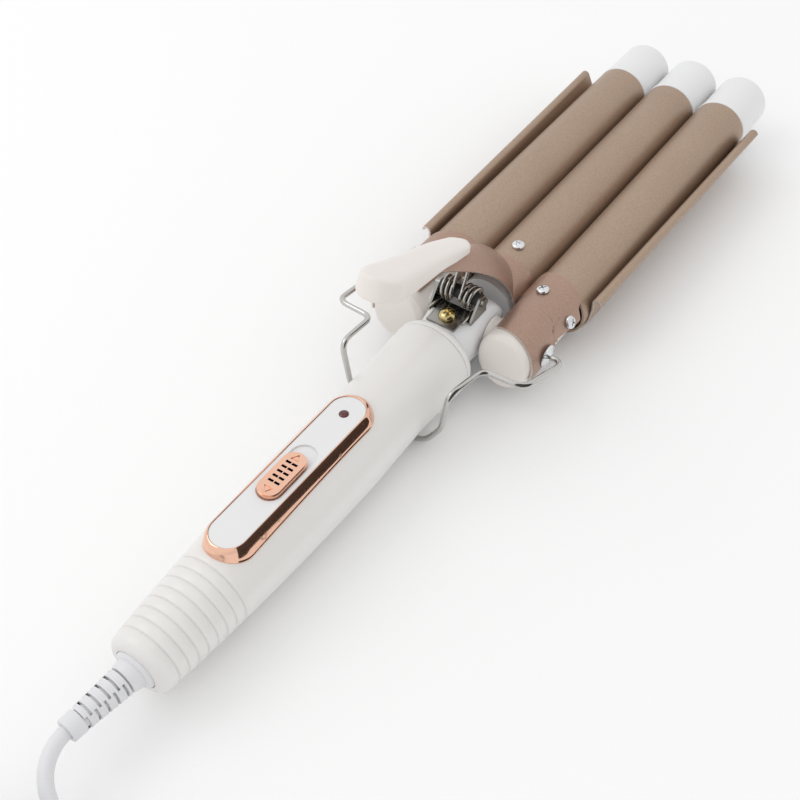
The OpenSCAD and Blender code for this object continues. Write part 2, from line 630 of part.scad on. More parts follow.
module carrier_waist() {
    translate([plate_near - 9, -carrier_half, carrier_top - carrier_t])
        cube([1, 2 * carrier_half, carrier_t]);
}
module plate_carrier() {
    seat = -11 - carrier_t;
    color([0.7, 0.7, 0.7]) put_down() difference() {
        union() {
            translate([-collar_x + 4, -carrier_half, seat])
                cube([collar_x + 2, 2 * carrier_half, carrier_t]);
            hull() {
                translate([5, -carrier_half, seat]) cube([1, 2 * carrier_half, carrier_t]);
                carrier_waist();
            }
            hull() {
                carrier_waist();
                translate([plate_near + 4, -pitch - 5, carrier_top - carrier_t])
                    cube([10, 2 * pitch + 10, carrier_t]);
            }
        }
        for (x = carrier_screws_x) translate([x, 0, -30])
            cylinder(r = screw_d / 2 + fit, h = 30);
        for (y = carrier_rivets_y) translate([carrier_rivet_x, y, -30])
            cylinder(r = screw_d / 2 + fit, h = 30);
    }
}
module carrier_screws() {
    color([0.75, 0.75, 0.76]) put_down() for (x = carrier_screws_x)
        translate([x, 0, -11 - carrier_t]) rotate([180, 0, 0]) small_screw(6);
}
module plate_rivets() {
    head = 2.6;
    under = carrier_top - carrier_t;
    color([0.75, 0.75, 0.76]) put_down() for (y = carrier_rivets_y)
        translate([carrier_rivet_x, y, under]) {
            translate([0, 0, -0.85]) cylinder(r = head, h = 0.8);
            translate([0, 0, -0.1]) cylinder(r = screw_d / 2, h = carrier_t + plate_t + 0.5);
        }
}

// ---- handle
bezier_belly = [88, belly_r];
bezier_pull = [140, belly_r - 0.2];
function tail_t(x) = let(a = bezier_belly.x - 2 * bezier_pull.x + tail_end - 2.5,
    b = 2 * (bezier_pull.x - bezier_belly.x), c = bezier_belly.x - x)
    (-b + sqrt(b * b - 4 * a * c)) / (2 * a);
// Radius of the handle at a distance behind the hinge axis
function handle_r(x) = x < 50 ? mix(collar_r, waist_r, ease(24, 50, x))
    : x < bezier_belly.x ? mix(waist_r, belly_r, ease(50, bezier_belly.x, x))
    : bezier(belly_r, bezier_pull.y, tail_r, tail_t(min(x, tail_end - 2.5)));
shell_front = collar_x + collar_len;
first_groove = tail_end - 6.5 - (groove_count - 1) * groove_pitch;
outer_line = [for (x = [shell_front:4:tail_end - tail_round - 2]) [handle_r(x), -x]];
// The inside of the shell, left clear by gap
function inner_line(gap) = [for (x = [tail_end - 8:-6:shell_front]) [handle_r(x) - handle_wall - gap, -x]];
tail_corner = [for (a = [0:18:90]) [tail_r - tail_round + tail_round * cos(a),
    -tail_end + tail_round - tail_round * sin(a)]];
swivel_r = 8;
module handle_housing() {
    color([0.92, 0.92, 0.93]) put_down() difference() {
        turned(concat(outer_line, tail_corner, [[swivel_r + fit, -tail_end],
            [swivel_r + fit, -tail_end + 2.6], [tail_r - handle_wall - 1, -tail_end + 3.4]],
            inner_line(0), [[collar_r - handle_wall, -shell_front]]));
        for (i = [0:groove_count - 1]) let(x = first_groove + i * groove_pitch, r = handle_r(x),
            bottom = r - groove_depth)
            translate([-x, 0, 0]) turned([[bottom, 0], [r + 1, -1.4], [r + 1, 0.35], [bottom, 0.2]]);
        translate([0, 0, panel_floor]) stadium(trim_half + fit, 20);
        for (s = [-1, 1]) hub_screw_place(s) {
            translate([0, 0, -8]) cylinder(r = screw_d / 2 + fit, h = 12);
            translate([0, 0, -fit]) cylinder(r = hub_screw_head + fit, h = 5);
        }
    }
}
module front_collar() {
    r = collar_r;
    inner = r - handle_wall;
    color([0.92, 0.92, 0.93]) put_down() translate([-shell_front, 0, 0])
        turned([[inner, fit], [r - 0.5, fit], [r - 0.1, 0.4], [r - 0.1, collar_len - 0.5],
            [r - 0.5, collar_len - fit], [inner, collar_len - fit]]);
}

// ---- control panel. stadium() is a prism along the panel's outline
panel_floor = 12.7;
panel_lip = 16.2;
module stadium(half, h) {
    x0 = -trim_front - trim_len + trim_half;
    x1 = -trim_front - trim_half;
    linear_extrude(h) union() {
        translate([x0, -half]) square([x1 - x0, 2 * half]);
        translate([x0, 0]) circle(r = half);
        translate([x1, 0]) circle(r = half);
    }
}
module trim_ring() {
    inner = trim_half - trim_band;
    color([0.86, 0.6, 0.47]) put_down() difference() {
        hull() {
            translate([0, 0, panel_h - 0.2]) stadium(inner + 1.1, 0.4, $fn = 40);
            intersection() {
                translate([0, 0, panel_floor]) stadium(trim_half, 8, $fn = 40);
                turned(concat([[0, -60]], [for (x = [60:8:160]) [handle_r(x) + 0.45, -x]],
                    [[0, -160]]), $fn = 72);
            }
        }
        stadium(inner, 40, $fn = 40);
        translate([0, 0, panel_floor - 5])
            stadium(inner + 1 + fit, panel_lip - panel_floor + 5, $fn = 40);
    }
}
knob_x = -trim_front - knob_back;
lens_x = -trim_front - lens_back;
slot_half = 1.6;
module pill(l, w, h) {
    linear_extrude(h) union() {
        translate([-l / 2 + w / 2, -w / 2]) square([l - w, w]);
        for (s = [-1, 1]) translate([s * (l - w) / 2, 0]) circle(r = w / 2);
    }
}
module control_panel() {
    inner = trim_half - trim_band;
    recess_l = knob_len + knob_travel + 1;
    color([0.92, 0.92, 0.93]) put_down() difference() {
        union() {
            translate([0, 0, panel_lip - fit]) stadium(inner - fit, panel_h - panel_lip + fit);
            translate([0, 0, panel_floor]) stadium(inner + 1, panel_lip - panel_floor - fit);
        }
        translate([0, 0, panel_floor - 1]) stadium(inner - 1.6, panel_lip - panel_floor + 1);
        translate([knob_x + knob_travel / 2, 0, panel_h - recess_depth])
            pill(recess_l, knob_w + 0.8, 5);
        translate([knob_x + knob_travel / 2, 0, panel_floor - 2])
            pill(8 + knob_travel + 0.6, 2 * slot_half + 0.3, 9);
        translate([lens_x, 0, panel_floor - 2]) cylinder(r = lens_d / 2 + fit, h = 9);
    }
}
module indicator_lens() {
    r = lens_d / 2;
    brim = panel_h - panel_lip + 0.7;
    color([0.4, 0.05, 0.06]) put_down() translate([lens_x, 0, panel_lip - 0.6])
        rotate_extrude() polygon([[0, 0], [r + 0.7, 0], [r + 0.7, 0.55], [r, 0.55], [r, brim],
            [r * 0.7, brim + 0.35], [0, brim + 0.45]]);
}
ladder_pitch = 2.4;
module switch_knob() {
    seat = panel_h - recess_depth + fit;
    h = knob_h + recess_depth - fit;
    color([0.86, 0.6, 0.47]) put_down() translate([knob_x, 0, seat]) difference() {
        union() {
            pill(knob_len, knob_w, h - 0.5);
            translate([0, 0, h - 0.5 - eps]) pill(knob_len - 0.7, knob_w - 0.7, 0.5);
            translate([0, 0, board_top + 4.4 - seat]) pill(8, 2 * slot_half, seat - board_top - 4.3);
        }
        for (i = [-2:2], s = [0, 1]) translate([i * ladder_pitch, s * 2.6 - 2.4, h - 0.7])
            cube([1, 2.2, 2]);
        for (s = [-1, 1]) translate([s * 8.3, 0, h - 0.45]) rotate([0, 0, s > 0 ? 0 : 180])
            linear_extrude(1) difference() {
                polygon([[-1.4, -1.9], [1.6, 0], [-1.4, 1.9]]);
                polygon([[-1, -1.15], [0.8, 0], [-1, 1.15]]);
            }
    }
}

// ---- inside the handle
board_top = 7;
board_t = 1.6;
board_x = [-147, -62];
board_half = 10;
module circuit_board() {
    color([0.15, 0.4, 0.22]) put_down() difference() {
        translate([board_x[0], -board_half, board_top - board_t])
            cube([board_x[1] - board_x[0], 2 * board_half, board_t]);
        for (x = board_post_x) translate([x, 0, 0]) cylinder(r = 1.3, h = 20);
    }
}
board_post_x = [board_x[0] + 5, board_x[1] - 7];
module board_posts() {
    under = board_top - board_t;
    color([0.92, 0.92, 0.93]) put_down() difference() {
        intersection() {
            turned(concat([[0, -tail_end + 8]], inner_line(fit), [[0, -shell_front]]));
            for (x = board_post_x) translate([x, 0, -collar_r]) cylinder(r = 3, h = collar_r + under - fit);
        }
        for (x = board_post_x) translate([x, 0, under - 8]) cylinder(r = 1.1, h = 10);
    }
}
module board_screws() {
    color([0.75, 0.75, 0.76]) put_down() for (x = board_post_x) translate([x, 0, board_top]) {
        translate([0, 0, fit]) cylinder(r = 2.3, h = 1.4);
        translate([0, 0, -7]) cylinder(r = 1, h = 7.2);
    }
}
module slide_switch() {
    color([0.12, 0.12, 0.13]) put_down() translate([knob_x + knob_travel / 2, 0, board_top]) difference() {
        translate([-11, -4.5, fit]) cube([22, 9, 5.2]);
        translate([0, 0, 3]) pill(9 + knob_travel, 2 * slot_half + 0.4, 9);
    }
}
module indicator_lamp() {
    color([0.85, 0.3, 0.25]) put_down() translate([lens_x, 0, board_top]) {
        translate([0, 0, fit]) cylinder(r = 2, h = 1);
        cylinder(r = 1.5, h = panel_lip - 1 - board_top);
    }
}
module power_parts() {
    color([0.2, 0.2, 0.22]) put_down() translate([board_x[0] + 12, 0, board_top]) {
        translate([0, -6.5, fit]) cube([9, 6, 4.4]);
        translate([4, 4, fit]) cylinder(r = 2.8, h = 4.2);
    }
}

// ---- stand: one bent wire, pivoting in the base plugs. Its corners are [point, bend radius]
washer_y = plug_y + plug_base_r + bridge_t + 0.25;
washer_h = 1.5;
stand_half = washer_y + washer_h + stand_out;
stand_corners = [[[0, plug_y + 5, hinge_z], 0], [[0, stand_half + 0.6, hinge_z + 0.2], 5],
    [[-26.6, stand_half - 2.2, hinge_z + 8.2], 6], [[-27.6, 25.6, hinge_z + 8.6], 5],
    [[-stand_back, 24.2, hinge_z + 12.6], 5], [[-stand_back, 21, -4.4], 12],
    [[-stand_back, 13, -foot_r], 13]];
module stand_wire() {
    c = concat(stand_corners, [for (i = [len(stand_corners) - 1:-1:0]) let(k = stand_corners[i])
        [[k[0].x, -k[0].y, k[0].z], k[1]]]);
    color([0.72, 0.72, 0.73]) put_down() union() {
        tube(rounded(c), stand_r, 8, [1, 0, 0]);
        both_sides() along_y(plug_y + 4.6, washer_y + 2, stand_r + 0.01, 0, hinge_z);
    }
}
module stand_washers() {
    r = washer_d / 2;
    hole = stand_r + 0.15;
    color([0.78, 0.78, 0.79]) put_down() both_sides() translate([0, washer_y, hinge_z]) rotate([-90, 0, 0])
        rotate_extrude() polygon([[hole, 0.3], [r - 0.6, 0], [r, 0.1], [r - 0.4, 0.7], [r * 0.6, 1.25],
            [hole, washer_h]]);
}

// ---- strain relief, cord, coil, tie and plug
relief_lean = 5;
relief_root = [-tail_end + 2.4, 0, 0];
module in_relief() { translate(relief_root) rotate([0, 0, -relief_lean]) mirror([1, 0, 0]) children(); }
relief_end = relief_len + 2.4;
module strain_relief() {
    core = cord_r + 0.9;
    ferrule = 5.2;
    gap = (relief_end - 14) / rib_count;
    color([0.93, 0.93, 0.94]) put_down() difference() {
        union() {
            translate(relief_root) rotate([0, 0, 180]) {
                along_x(-1.6, 1.4, swivel_r - fit);
                along_x(-1.6 - 1.2, -1.6 + eps, swivel_r + 1);
                along_x(1.3, 3.6, swivel_r - 1.2);
            }
            in_relief() {
                along_x(2, 7.6, relief_d / 2);
                along_x(7, relief_end, core);
                for (i = [0:rib_count - 1]) along_x(8.4 + i * gap, 8.4 + i * gap + gap * 0.55,
                    mix(relief_d, relief_tip_d, (i + 1) / (rib_count + 1)) / 2);
                for (a = [0:90:270]) rotate([a, 0, 0]) translate([7, -1.1, 0])
                    cube([relief_end - 7 - ferrule, 2.2, relief_tip_d / 2 - 0.5]);
                along_x(relief_end - ferrule, relief_end, relief_tip_d / 2);
            }
        }
        in_relief() along_x(relief_end - cord_in - fit, relief_end + 1, cord_r + fit);
    }
}
cord_r = cord_d / 2;
cord_in = cord_d;
cord_dir = [-cos(relief_lean), sin(relief_lean), 0];
relief_face = relief_root + relief_end * cord_dir;
low = cord_r - axis_h;
// The free stretch: straight in the strain relief, then in one bend down to the table
cord_route = [[-222.6, 2.5, -0.1], [-225.5, 1.8, -0.4], [-228.2, 0.7, -0.9], [-230.7, -0.9, -1.4],
    [-232.9, -2.8, -2.2], [-234.7, -5, -3], [-236.1, -7.4, -4.1], [-237.3, -9.7, -5.6],
    [-238.4, -11.9, -7.4], [-239.4, -13.9, -9.4], [-240.5, -15.9, -11.3], [-241.6, -18.1, -13.1],
    [-242.7, -20.5, -14.5], [-243.8, -23.1, -15.5]];
coil_c = [-282.57, -19.87];
coil_from = -20;
coil_layers = 4;
coil_total = 9 + coil_from / 360;
coil_loops = coil_total / coil_layers;
coil_mid = 31;
coil_pitch = cord_d + 0.55;
coil_out_r = coil_mid + coil_loops * coil_pitch / 2;
coil_in_r = coil_mid - coil_loops * coil_pitch / 2;
coil_top = low + (coil_layers - 1) * coil_pitch;
// Seen from above the coil winds clockwise, swinging between its outer and its inner radius
function coil_swing(n) = let(k = n / coil_loops, f = k - 2 * floor(k / 2)) f < 1 ? f : 2 - f;
function sum(v, i = 0) = i < len(v) ? v[i] + sum(v, i + 1) : 0;
function coil_rise(n) = ease(coil_total - 0.5, coil_total, n)
    + sum([for (i = [1:coil_layers - 1]) ease(i * coil_loops - 0.25, i * coil_loops + 0.25, n)]);
function coil_at(n) = let(a = coil_from - 360 * n, r = mix(coil_out_r, coil_in_r, coil_swing(n)))
    [coil_c.x + r * cos(a), coil_c.y + r * sin(a), low + coil_rise(n) * coil_pitch];
coil_lead = unit([sin(-coil_from), cos(coil_from), 0]);
coil_start = coil_at(0) + cord_d * coil_lead;
// The end of the cord turns in over the top of the coil, where the plug lies on it
tail_r_bend = 4.45 * cord_d;
tail_c = [coil_c.x + coil_out_r - tail_r_bend, coil_c.y];
plug_thick = 6.8;
plug_at = [tail_c.x - 1.5 * cord_d, tail_c.y - tail_r_bend, coil_top + cord_r + plug_thick + 0.3];
tail_run = [for (i = [1:12]) let(a = -90 * i / 12) [tail_c.x + tail_r_bend * cos(a),
    tail_c.y + tail_r_bend * sin(a), mix(coil_top + coil_pitch, plug_at.z, ease(0, 1, i / 12))]];
module cord() {
    p = concat([relief_face - cord_in * cord_dir, relief_face + 1.2 * cord_dir], cord_route,
        [coil_start + 0.4 * cord_d * coil_lead, coil_start]);
    color([0.9, 0.9, 0.91]) put_down() tube(p, cord_r, 8, [0, 0, 1]);
}
module cord_coil() {
    p = concat([coil_start], [for (i = [0:round(24 * coil_total)]) coil_at(i / 24)], tail_run,
        [plug_at + [cord_d, 0, 0], plug_at]);
    echo("least gap of the coil to itself", least_gap(p, 12, cord_d));
    echo("coil length", sum([for (i = [0:len(p) - 2]) norm(p[i + 1] - p[i])]));
    color([0.9, 0.9, 0.91]) put_down() tube(p, cord_r, 6, [0, 0, 1]);
}
// Plug frame: local Z runs from the end of the cord towards the pins
module in_plug() { translate(plug_at) rotate([0, -90, 0]) rotate([0, 0, 90]) children(); }
plug_tail = 14;
plug_face = plug_tail + plug_len;
plug_half = 15.5;
pin_root = 9;
module plug_slice(z, half, thick) {
    translate([0, 0, z]) linear_extrude(1.2) hull()
        for (s = [-1, 1]) translate([s * (half - thick), 0]) circle(r = thick, $fn = 32);
}
// The plug's flexible tail: [radius, distance] from the cord's end
tail_rings = [[0, 0], [3.9, 0], [4, 2.8], [3.8, 2.8], [3.8, 4], [4.2, 4], [4.4, 6.6],
    [4, 6.6], [4, 8], [4.6, 8], [4.8, 10.6], [4.2, 10.6], [4.2, 12], [5, 12],
    [5.2, plug_tail + 3], [0, plug_tail + 3]];
module plug() {
    color([0.9, 0.9, 0.91]) put_down() in_plug() difference() {
        union() {
            hull() {
                plug_slice(plug_face - 1.2, plug_half - 0.8, plug_thick - 0.8);
                plug_slice(plug_face - 2.4, plug_half, plug_thick);
                plug_slice(plug_face - plug_len * 0.55, plug_half - 1.4, plug_thick);
                plug_slice(plug_tail, 8.4, plug_thick - 1.4);
            }
            rotate_extrude() polygon(tail_rings);
        }
        for (s = [-1, 1]) translate([s * pin_pitch / 2, 0, plug_face - pin_root])
            cylinder(r = pin_d / 2 - 0.4, h = pin_root + 1);
    }
}
module plug_pins() {
    r = pin_d / 2;
    stem = r - 0.4 - fit;
    color([0.78, 0.78, 0.79]) put_down() in_plug() for (s = [-1, 1])
        translate([s * pin_pitch / 2, 0, plug_face]) rotate_extrude()
            polygon([[0, -pin_root + fit], [stem, -pin_root + fit], [stem, 0], [r, 0],
                [r, pin_len - 0.8], [r - 0.8, pin_len], [0, pin_len]]);
}

handle_housing();
front_collar();
hub();
hub_screws();
trim_ring();
control_panel();
indicator_lens();
switch_knob();
slide_switch();
circuit_board();
board_posts();
board_screws();
indicator_lamp();
power_parts();
spring_saddle();
saddle_screw();
spring_pin();
spring_bush();
closing_spring();
clamp_plate();
plate_carrier();
carrier_screws();
plate_rivets();
barrel_left();
barrel_middle();
barrel_right();
tip_cap_left();
tip_cap_middle();
tip_cap_right();
heat_spreader_left();
heat_spreader_middle();
heat_spreader_right();
heating_plate_left();
heating_plate_middle();
heating_plate_right();
base_plug_left();
base_plug_middle();
base_plug_right();
barrel_bridge();
bridge_screws();
thumb_lever();
lever_screws();
stand_wire();
stand_washers();
strain_relief();
cord();
cord_coil();
plug();
plug_pins();
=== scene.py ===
import bpy
import json
from math import asin, atan2, copysign, cos, floor, pi, radians, sin, sqrt
from mathutils import Matrix, Vector


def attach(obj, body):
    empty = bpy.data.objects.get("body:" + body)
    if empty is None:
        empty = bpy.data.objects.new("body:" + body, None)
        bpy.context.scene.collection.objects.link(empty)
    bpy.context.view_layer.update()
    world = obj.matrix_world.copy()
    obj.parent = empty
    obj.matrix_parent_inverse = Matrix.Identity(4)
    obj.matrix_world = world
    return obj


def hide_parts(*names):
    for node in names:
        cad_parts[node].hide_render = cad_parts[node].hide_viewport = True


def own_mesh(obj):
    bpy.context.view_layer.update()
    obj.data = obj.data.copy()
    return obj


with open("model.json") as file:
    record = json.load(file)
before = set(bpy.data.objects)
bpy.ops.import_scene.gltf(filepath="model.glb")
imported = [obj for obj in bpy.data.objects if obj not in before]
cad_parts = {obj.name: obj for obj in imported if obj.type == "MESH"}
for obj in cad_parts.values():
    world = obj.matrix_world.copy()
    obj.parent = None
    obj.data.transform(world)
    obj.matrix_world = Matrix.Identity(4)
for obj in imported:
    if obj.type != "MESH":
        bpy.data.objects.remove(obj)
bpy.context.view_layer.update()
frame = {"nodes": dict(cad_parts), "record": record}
mm = 0.001
print("frame loaded")

# The part's origin is on the table, midway between tail and tips. Places are first written
# in millimetres from the hinge axis and the barrel axes, as in the part's source.
hingeX = -8.5
axisZ = 18.61


def place(x, y, z):
    return Vector(((x + hingeX) * mm, y * mm, (z + axisZ) * mm))


def mix(a, b, t):
    return a + (b - a) * t


def ease(a, b, x):
    t = max(0.0, min(1.0, (x - a) / (b - a)))
    return t * t * (3 - 2 * t)


def bezier(a, b, c, t):
    return tuple((1 - t) ** 2 * p + 2 * t * (1 - t) * q + t * t * r for p, q, r in zip(a, b, c))


def along(table, x):
    for (xa, ya), (xb, yb) in zip(table, table[1:]):
        if x <= xb:
            return mix(ya, yb, max(0.0, (x - xa) / (xb - xa)))
    return table[-1][1]


# camera and stage
view = {"eye": (-309.4, -190.4, 346.5), "azimuth": 35.77, "down": 47.14, "roll": 1.11,
    "focal": 1254.0, "picture": 800}


def addCamera(v):
    data = bpy.data.cameras.new("camera")
    data.sensor_width = 36
    data.lens = v["focal"] / v["picture"] * data.sensor_width
    camera = bpy.data.objects.new("camera", data)
    bpy.context.collection.objects.link(camera)
    az, down = radians(v["azimuth"]), radians(v["down"])
    ahead = Vector((cos(az) * cos(down), sin(az) * cos(down), -sin(down)))
    right = ahead.cross(Vector((0, 0, 1))).normalized()
    right = Matrix.Rotation(radians(v["roll"]), 3, ahead) @ right
    up = right.cross(ahead)
    turn = Matrix((right, up, -ahead)).transposed().to_4x4()
    camera.matrix_world = Matrix.Translation(place(*v["eye"])) @ turn
    bpy.context.scene.camera = camera


addCamera(view)
print("camera")

# the free cord: the same route as the part's source
cordLay = {"diameter": 5.2, "air": 0.55, "mid": (-282.57, -19.87), "start": -20, "layers": 4, "turns": 9,
    "radius": 31, "lean": 5, "bend": 4.45, "plugThick": 6.8, "steps": 48}
cordRoute = [(-222.6, 2.5, -0.1), (-225.5, 1.8, -0.4), (-228.2, 0.7, -0.9), (-230.7, -0.9, -1.4),
    (-232.9, -2.8, -2.2), (-234.7, -5, -3), (-236.1, -7.4, -4.1), (-237.3, -9.7, -5.6),
    (-238.4, -11.9, -7.4), (-239.4, -13.9, -9.4), (-240.5, -15.9, -11.3), (-241.6, -18.1, -13.1),
    (-242.7, -20.5, -14.5), (-243.8, -23.1, -15.5)]
lean = radians(cordLay["lean"])
reliefRoot = Vector((-188.1, 0, 0))
reliefWay = Vector((-cos(lean), sin(lean), 0))
reliefEnd = 30.4


def cordPoints(c):
    d = c["diameter"]
    low = d / 2 - axisZ
    total = c["turns"] + c["start"] / 360
    loops = total / c["layers"]
    step = d + c["air"]
    outer = c["radius"] + loops * step / 2
    inner = c["radius"] - loops * step / 2
    midX, midY = c["mid"]

    def coilAt(n):
        k = n / loops
        f = k - 2 * floor(k / 2)
        r = mix(outer, inner, f if f < 1 else 2 - f)
        a = radians(c["start"] - 360 * n)
        rise = sum(ease(i * loops - 0.25, i * loops + 0.25, n) for i in range(1, c["layers"]))
        rise += ease(total - 0.5, total, n)
        return (midX + r * cos(a), midY + r * sin(a), low + rise * step)

    face = reliefRoot + reliefEnd * reliefWay
    lead = Vector((sin(radians(-c["start"])), cos(radians(c["start"])), 0))
    start = Vector(coilAt(0)) + d * lead
    coil = [coilAt(i / c["steps"]) for i in range(round(c["steps"] * total) + 1)]
    top = low + (c["layers"] - 1) * step
    bend = c["bend"] * d
    plugAt = (midX + outer - bend - 1.5 * d, midY - bend, top + d / 2 + c["plugThick"] + 0.3)
    tail = []
    for i in range(1, 13):
        a = radians(-90 * i / 12)
        tail.append((midX + outer - bend + bend * cos(a), midY + bend * sin(a),
            mix(top + step, plugAt[2], ease(0, 1, i / 12))))
    free = [tuple(face - d * reliefWay), tuple(face + 1.2 * reliefWay)] + cordRoute
    joint = [tuple(start + 0.4 * d * lead), tuple(start)]
    return free + joint + coil + tail + [(plugAt[0] + d, *plugAt[1:]), plugAt]


def newCurve(name, points, radius, sides=4):
    curve = bpy.data.curves.new(name, "CURVE")
    curve.dimensions = "3D"
    curve.bevel_depth = radius * mm
    curve.bevel_resolution = sides
    curve.use_fill_caps = True
    spline = curve.splines.new("POLY")
    spline.points.add(len(points) - 1)
    for spot, p in zip(spline.points, points):
        spot.co = (*place(*p), 1)
    spline.use_smooth = True
    tube = bpy.data.objects.new(name, curve)
    bpy.context.collection.objects.link(tube)
    return tube


def layCord(c):
    points = cordPoints(c)
    tube = newCurve("cord_tube", points, c["diameter"] / 2)
    bpy.ops.object.select_all(action="DESELECT")
    tube.select_set(True)
    bpy.context.view_layer.objects.active = tube
    bpy.ops.object.convert(target="MESH")
    tube = bpy.context.object
    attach(tube, "handle")
    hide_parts("cord", "cord_coil")
    return tube


cordTube = layCord(cordLay)
print("cord laid")

# effects that several materials use, each a node group


def newGroup(name, sockets, outputs):
    group = bpy.data.node_groups.new(name, "ShaderNodeTree")
    for label, kind, value in sockets:
        socket = group.interface.new_socket(name=label, in_out="INPUT", socket_type=kind)
        if value is not None:
            socket.default_value = value
    for label, kind in outputs:
        group.interface.new_socket(name=label, in_out="OUTPUT", socket_type=kind)
    nodes = group.nodes
    return group, nodes, group.links, nodes.new("NodeGroupInput"), nodes.new("NodeGroupOutput")


def maths(nodes, links, kind, a, b):
    node = nodes.new("ShaderNodeMath")
    node.operation = kind
    for slot, value in enumerate((a, b)):
        if isinstance(value, (int, float)):
            node.inputs[slot].default_value = value
        else:
            links.new(value, node.inputs[slot])
    return node.outputs[0]


def noiseOf(nodes, links, vector, scale, detail):
    node = nodes.new("ShaderNodeTexNoise")
    node.inputs["Detail"].default_value = detail
    links.new(vector, node.inputs["Vector"])
    if isinstance(scale, (int, float)):
        node.inputs["Scale"].default_value = scale
    else:
        links.new(scale, node.inputs["Scale"])
    return node.outputs["Fac"]


def makeTint():
    group, nodes, links, source, result = newGroup("mottledTint",
        [("Vector", "NodeSocketVector", None), ("Colour", "NodeSocketColor", (0.8, 0.8, 0.8, 1)),
            ("Second", "NodeSocketColor", (0.8, 0.8, 0.8, 1)), ("Patch Scale", "NodeSocketFloat", 40.0),
            ("Fleck Scale", "NodeSocketFloat", 1500.0), ("Fleck", "NodeSocketFloat", 0.05)],
        [("Colour", "NodeSocketColor"), ("Patch", "NodeSocketFloat")])
    patch = noiseOf(nodes, links, source.outputs["Vector"], source.outputs["Patch Scale"], 3)
    blend = nodes.new("ShaderNodeMix")
    blend.data_type = "RGBA"
    links.new(patch, blend.inputs["Factor"])
    links.new(source.outputs["Colour"], blend.inputs["A"])
    links.new(source.outputs["Second"], blend.inputs["B"])
    fleck = noiseOf(nodes, links, source.outputs["Vector"], source.outputs["Fleck Scale"], 1)
    lift = maths(nodes, links, "MULTIPLY", maths(nodes, links, "SUBTRACT", fleck, 0.5), source.outputs["Fleck"])
    shade = nodes.new("ShaderNodeHueSaturation")
    links.new(maths(nodes, links, "ADD", lift, 1.0), shade.inputs["Value"])
    links.new(blend.outputs["Result"], shade.inputs["Color"])
    links.new(shade.outputs["Color"], result.inputs["Colour"])
    links.new(patch, result.inputs["Patch"])
    return group


def makeGrain():
    group, nodes, links, source, result = newGroup("fineGrain",
        [("Vector", "NodeSocketVector", None), ("Scale", "NodeSocketFloat", 900.0),
            ("Depth", "NodeSocketFloat", 0.1), ("Wave Scale", "NodeSocketFloat", 30.0),
            ("Wave Depth", "NodeSocketFloat", 0.1)],
        [("Normal", "NodeSocketVector")])
    fine = noiseOf(nodes, links, source.outputs["Vector"], source.outputs["Scale"], 2)
    broad = noiseOf(nodes, links, source.outputs["Vector"], source.outputs["Wave Scale"], 1)
    height = maths(nodes, links, "ADD", maths(nodes, links, "MULTIPLY", fine, source.outputs["Depth"]),
        maths(nodes, links, "MULTIPLY", broad, source.outputs["Wave Depth"]))
    bump = nodes.new("ShaderNodeBump")
    bump.inputs["Strength"].default_value = 0.6
    bump.inputs["Distance"].default_value = 0.0004
    links.new(height, bump.inputs["Height"])
    links.new(bump.outputs["Normal"], result.inputs["Normal"])
    return group


def makeWear():
    group, nodes, links, source, result = newGroup("wearSpecks",
        [("Vector", "NodeSocketVector", None), ("Scale", "NodeSocketFloat", 300.0),
            ("Amount", "NodeSocketFloat", 0.3)],
        [("Mask", "NodeSocketFloat")])
    specks = noiseOf(nodes, links, source.outputs["Vector"], source.outputs["Scale"], 4)
    ramp = nodes.new("ShaderNodeMapRange")
    ramp.inputs["From Min"].default_value = 0.66
    ramp.inputs["From Max"].default_value = 0.72
    links.new(specks, ramp.inputs["Value"])
    amount = maths(nodes, links, "MULTIPLY", ramp.outputs["Result"], source.outputs["Amount"])
    links.new(amount, result.inputs["Mask"])
    return group


# painted shade: a mask of the switch knob's slots below their ceiling, where the slot floors are painted near black
# as shade
def makeSlotShade():
    group, nodes, links, source, result = newGroup("paintedSlotShadeMask",
        [("Vector", "NodeSocketVector", None), ("Centre", "NodeSocketVector", (0, 0, 0)),
            ("Half", "NodeSocketVector", (0.01, 0.01, 0)), ("Ceiling", "NodeSocketFloat", 0.0)],
        [("Mask", "NodeSocketFloat")])
    away = nodes.new("ShaderNodeVectorMath")
    away.operation = "SUBTRACT"
    links.new(source.outputs["Vector"], away.inputs[0])
    links.new(source.outputs["Centre"], away.inputs[1])
    size = nodes.new("ShaderNodeVectorMath")
    size.operation = "ABSOLUTE"
    links.new(away.outputs["Vector"], size.inputs[0])
    reach, limit, raw = (nodes.new("ShaderNodeSeparateXYZ") for _ in range(3))
    links.new(size.outputs["Vector"], reach.inputs[0])
    links.new(source.outputs["Half"], limit.inputs[0])
    links.new(source.outputs["Vector"], raw.inputs[0])
    inX = maths(nodes, links, "LESS_THAN", reach.outputs["X"], limit.outputs["X"])
    inY = maths(nodes, links, "LESS_THAN", reach.outputs["Y"], limit.outputs["Y"])
    below = maths(nodes, links, "LESS_THAN", raw.outputs["Z"], source.outputs["Ceiling"])
    inside = maths(nodes, links, "MULTIPLY", inX, inY)
    links.new(maths(nodes, links, "MULTIPLY", inside, below), result.inputs["Mask"])
    return group


tintGroup, grainGroup, wearGroup, slotShadeGroup = makeTint(), makeGrain(), makeWear(), makeSlotShade()

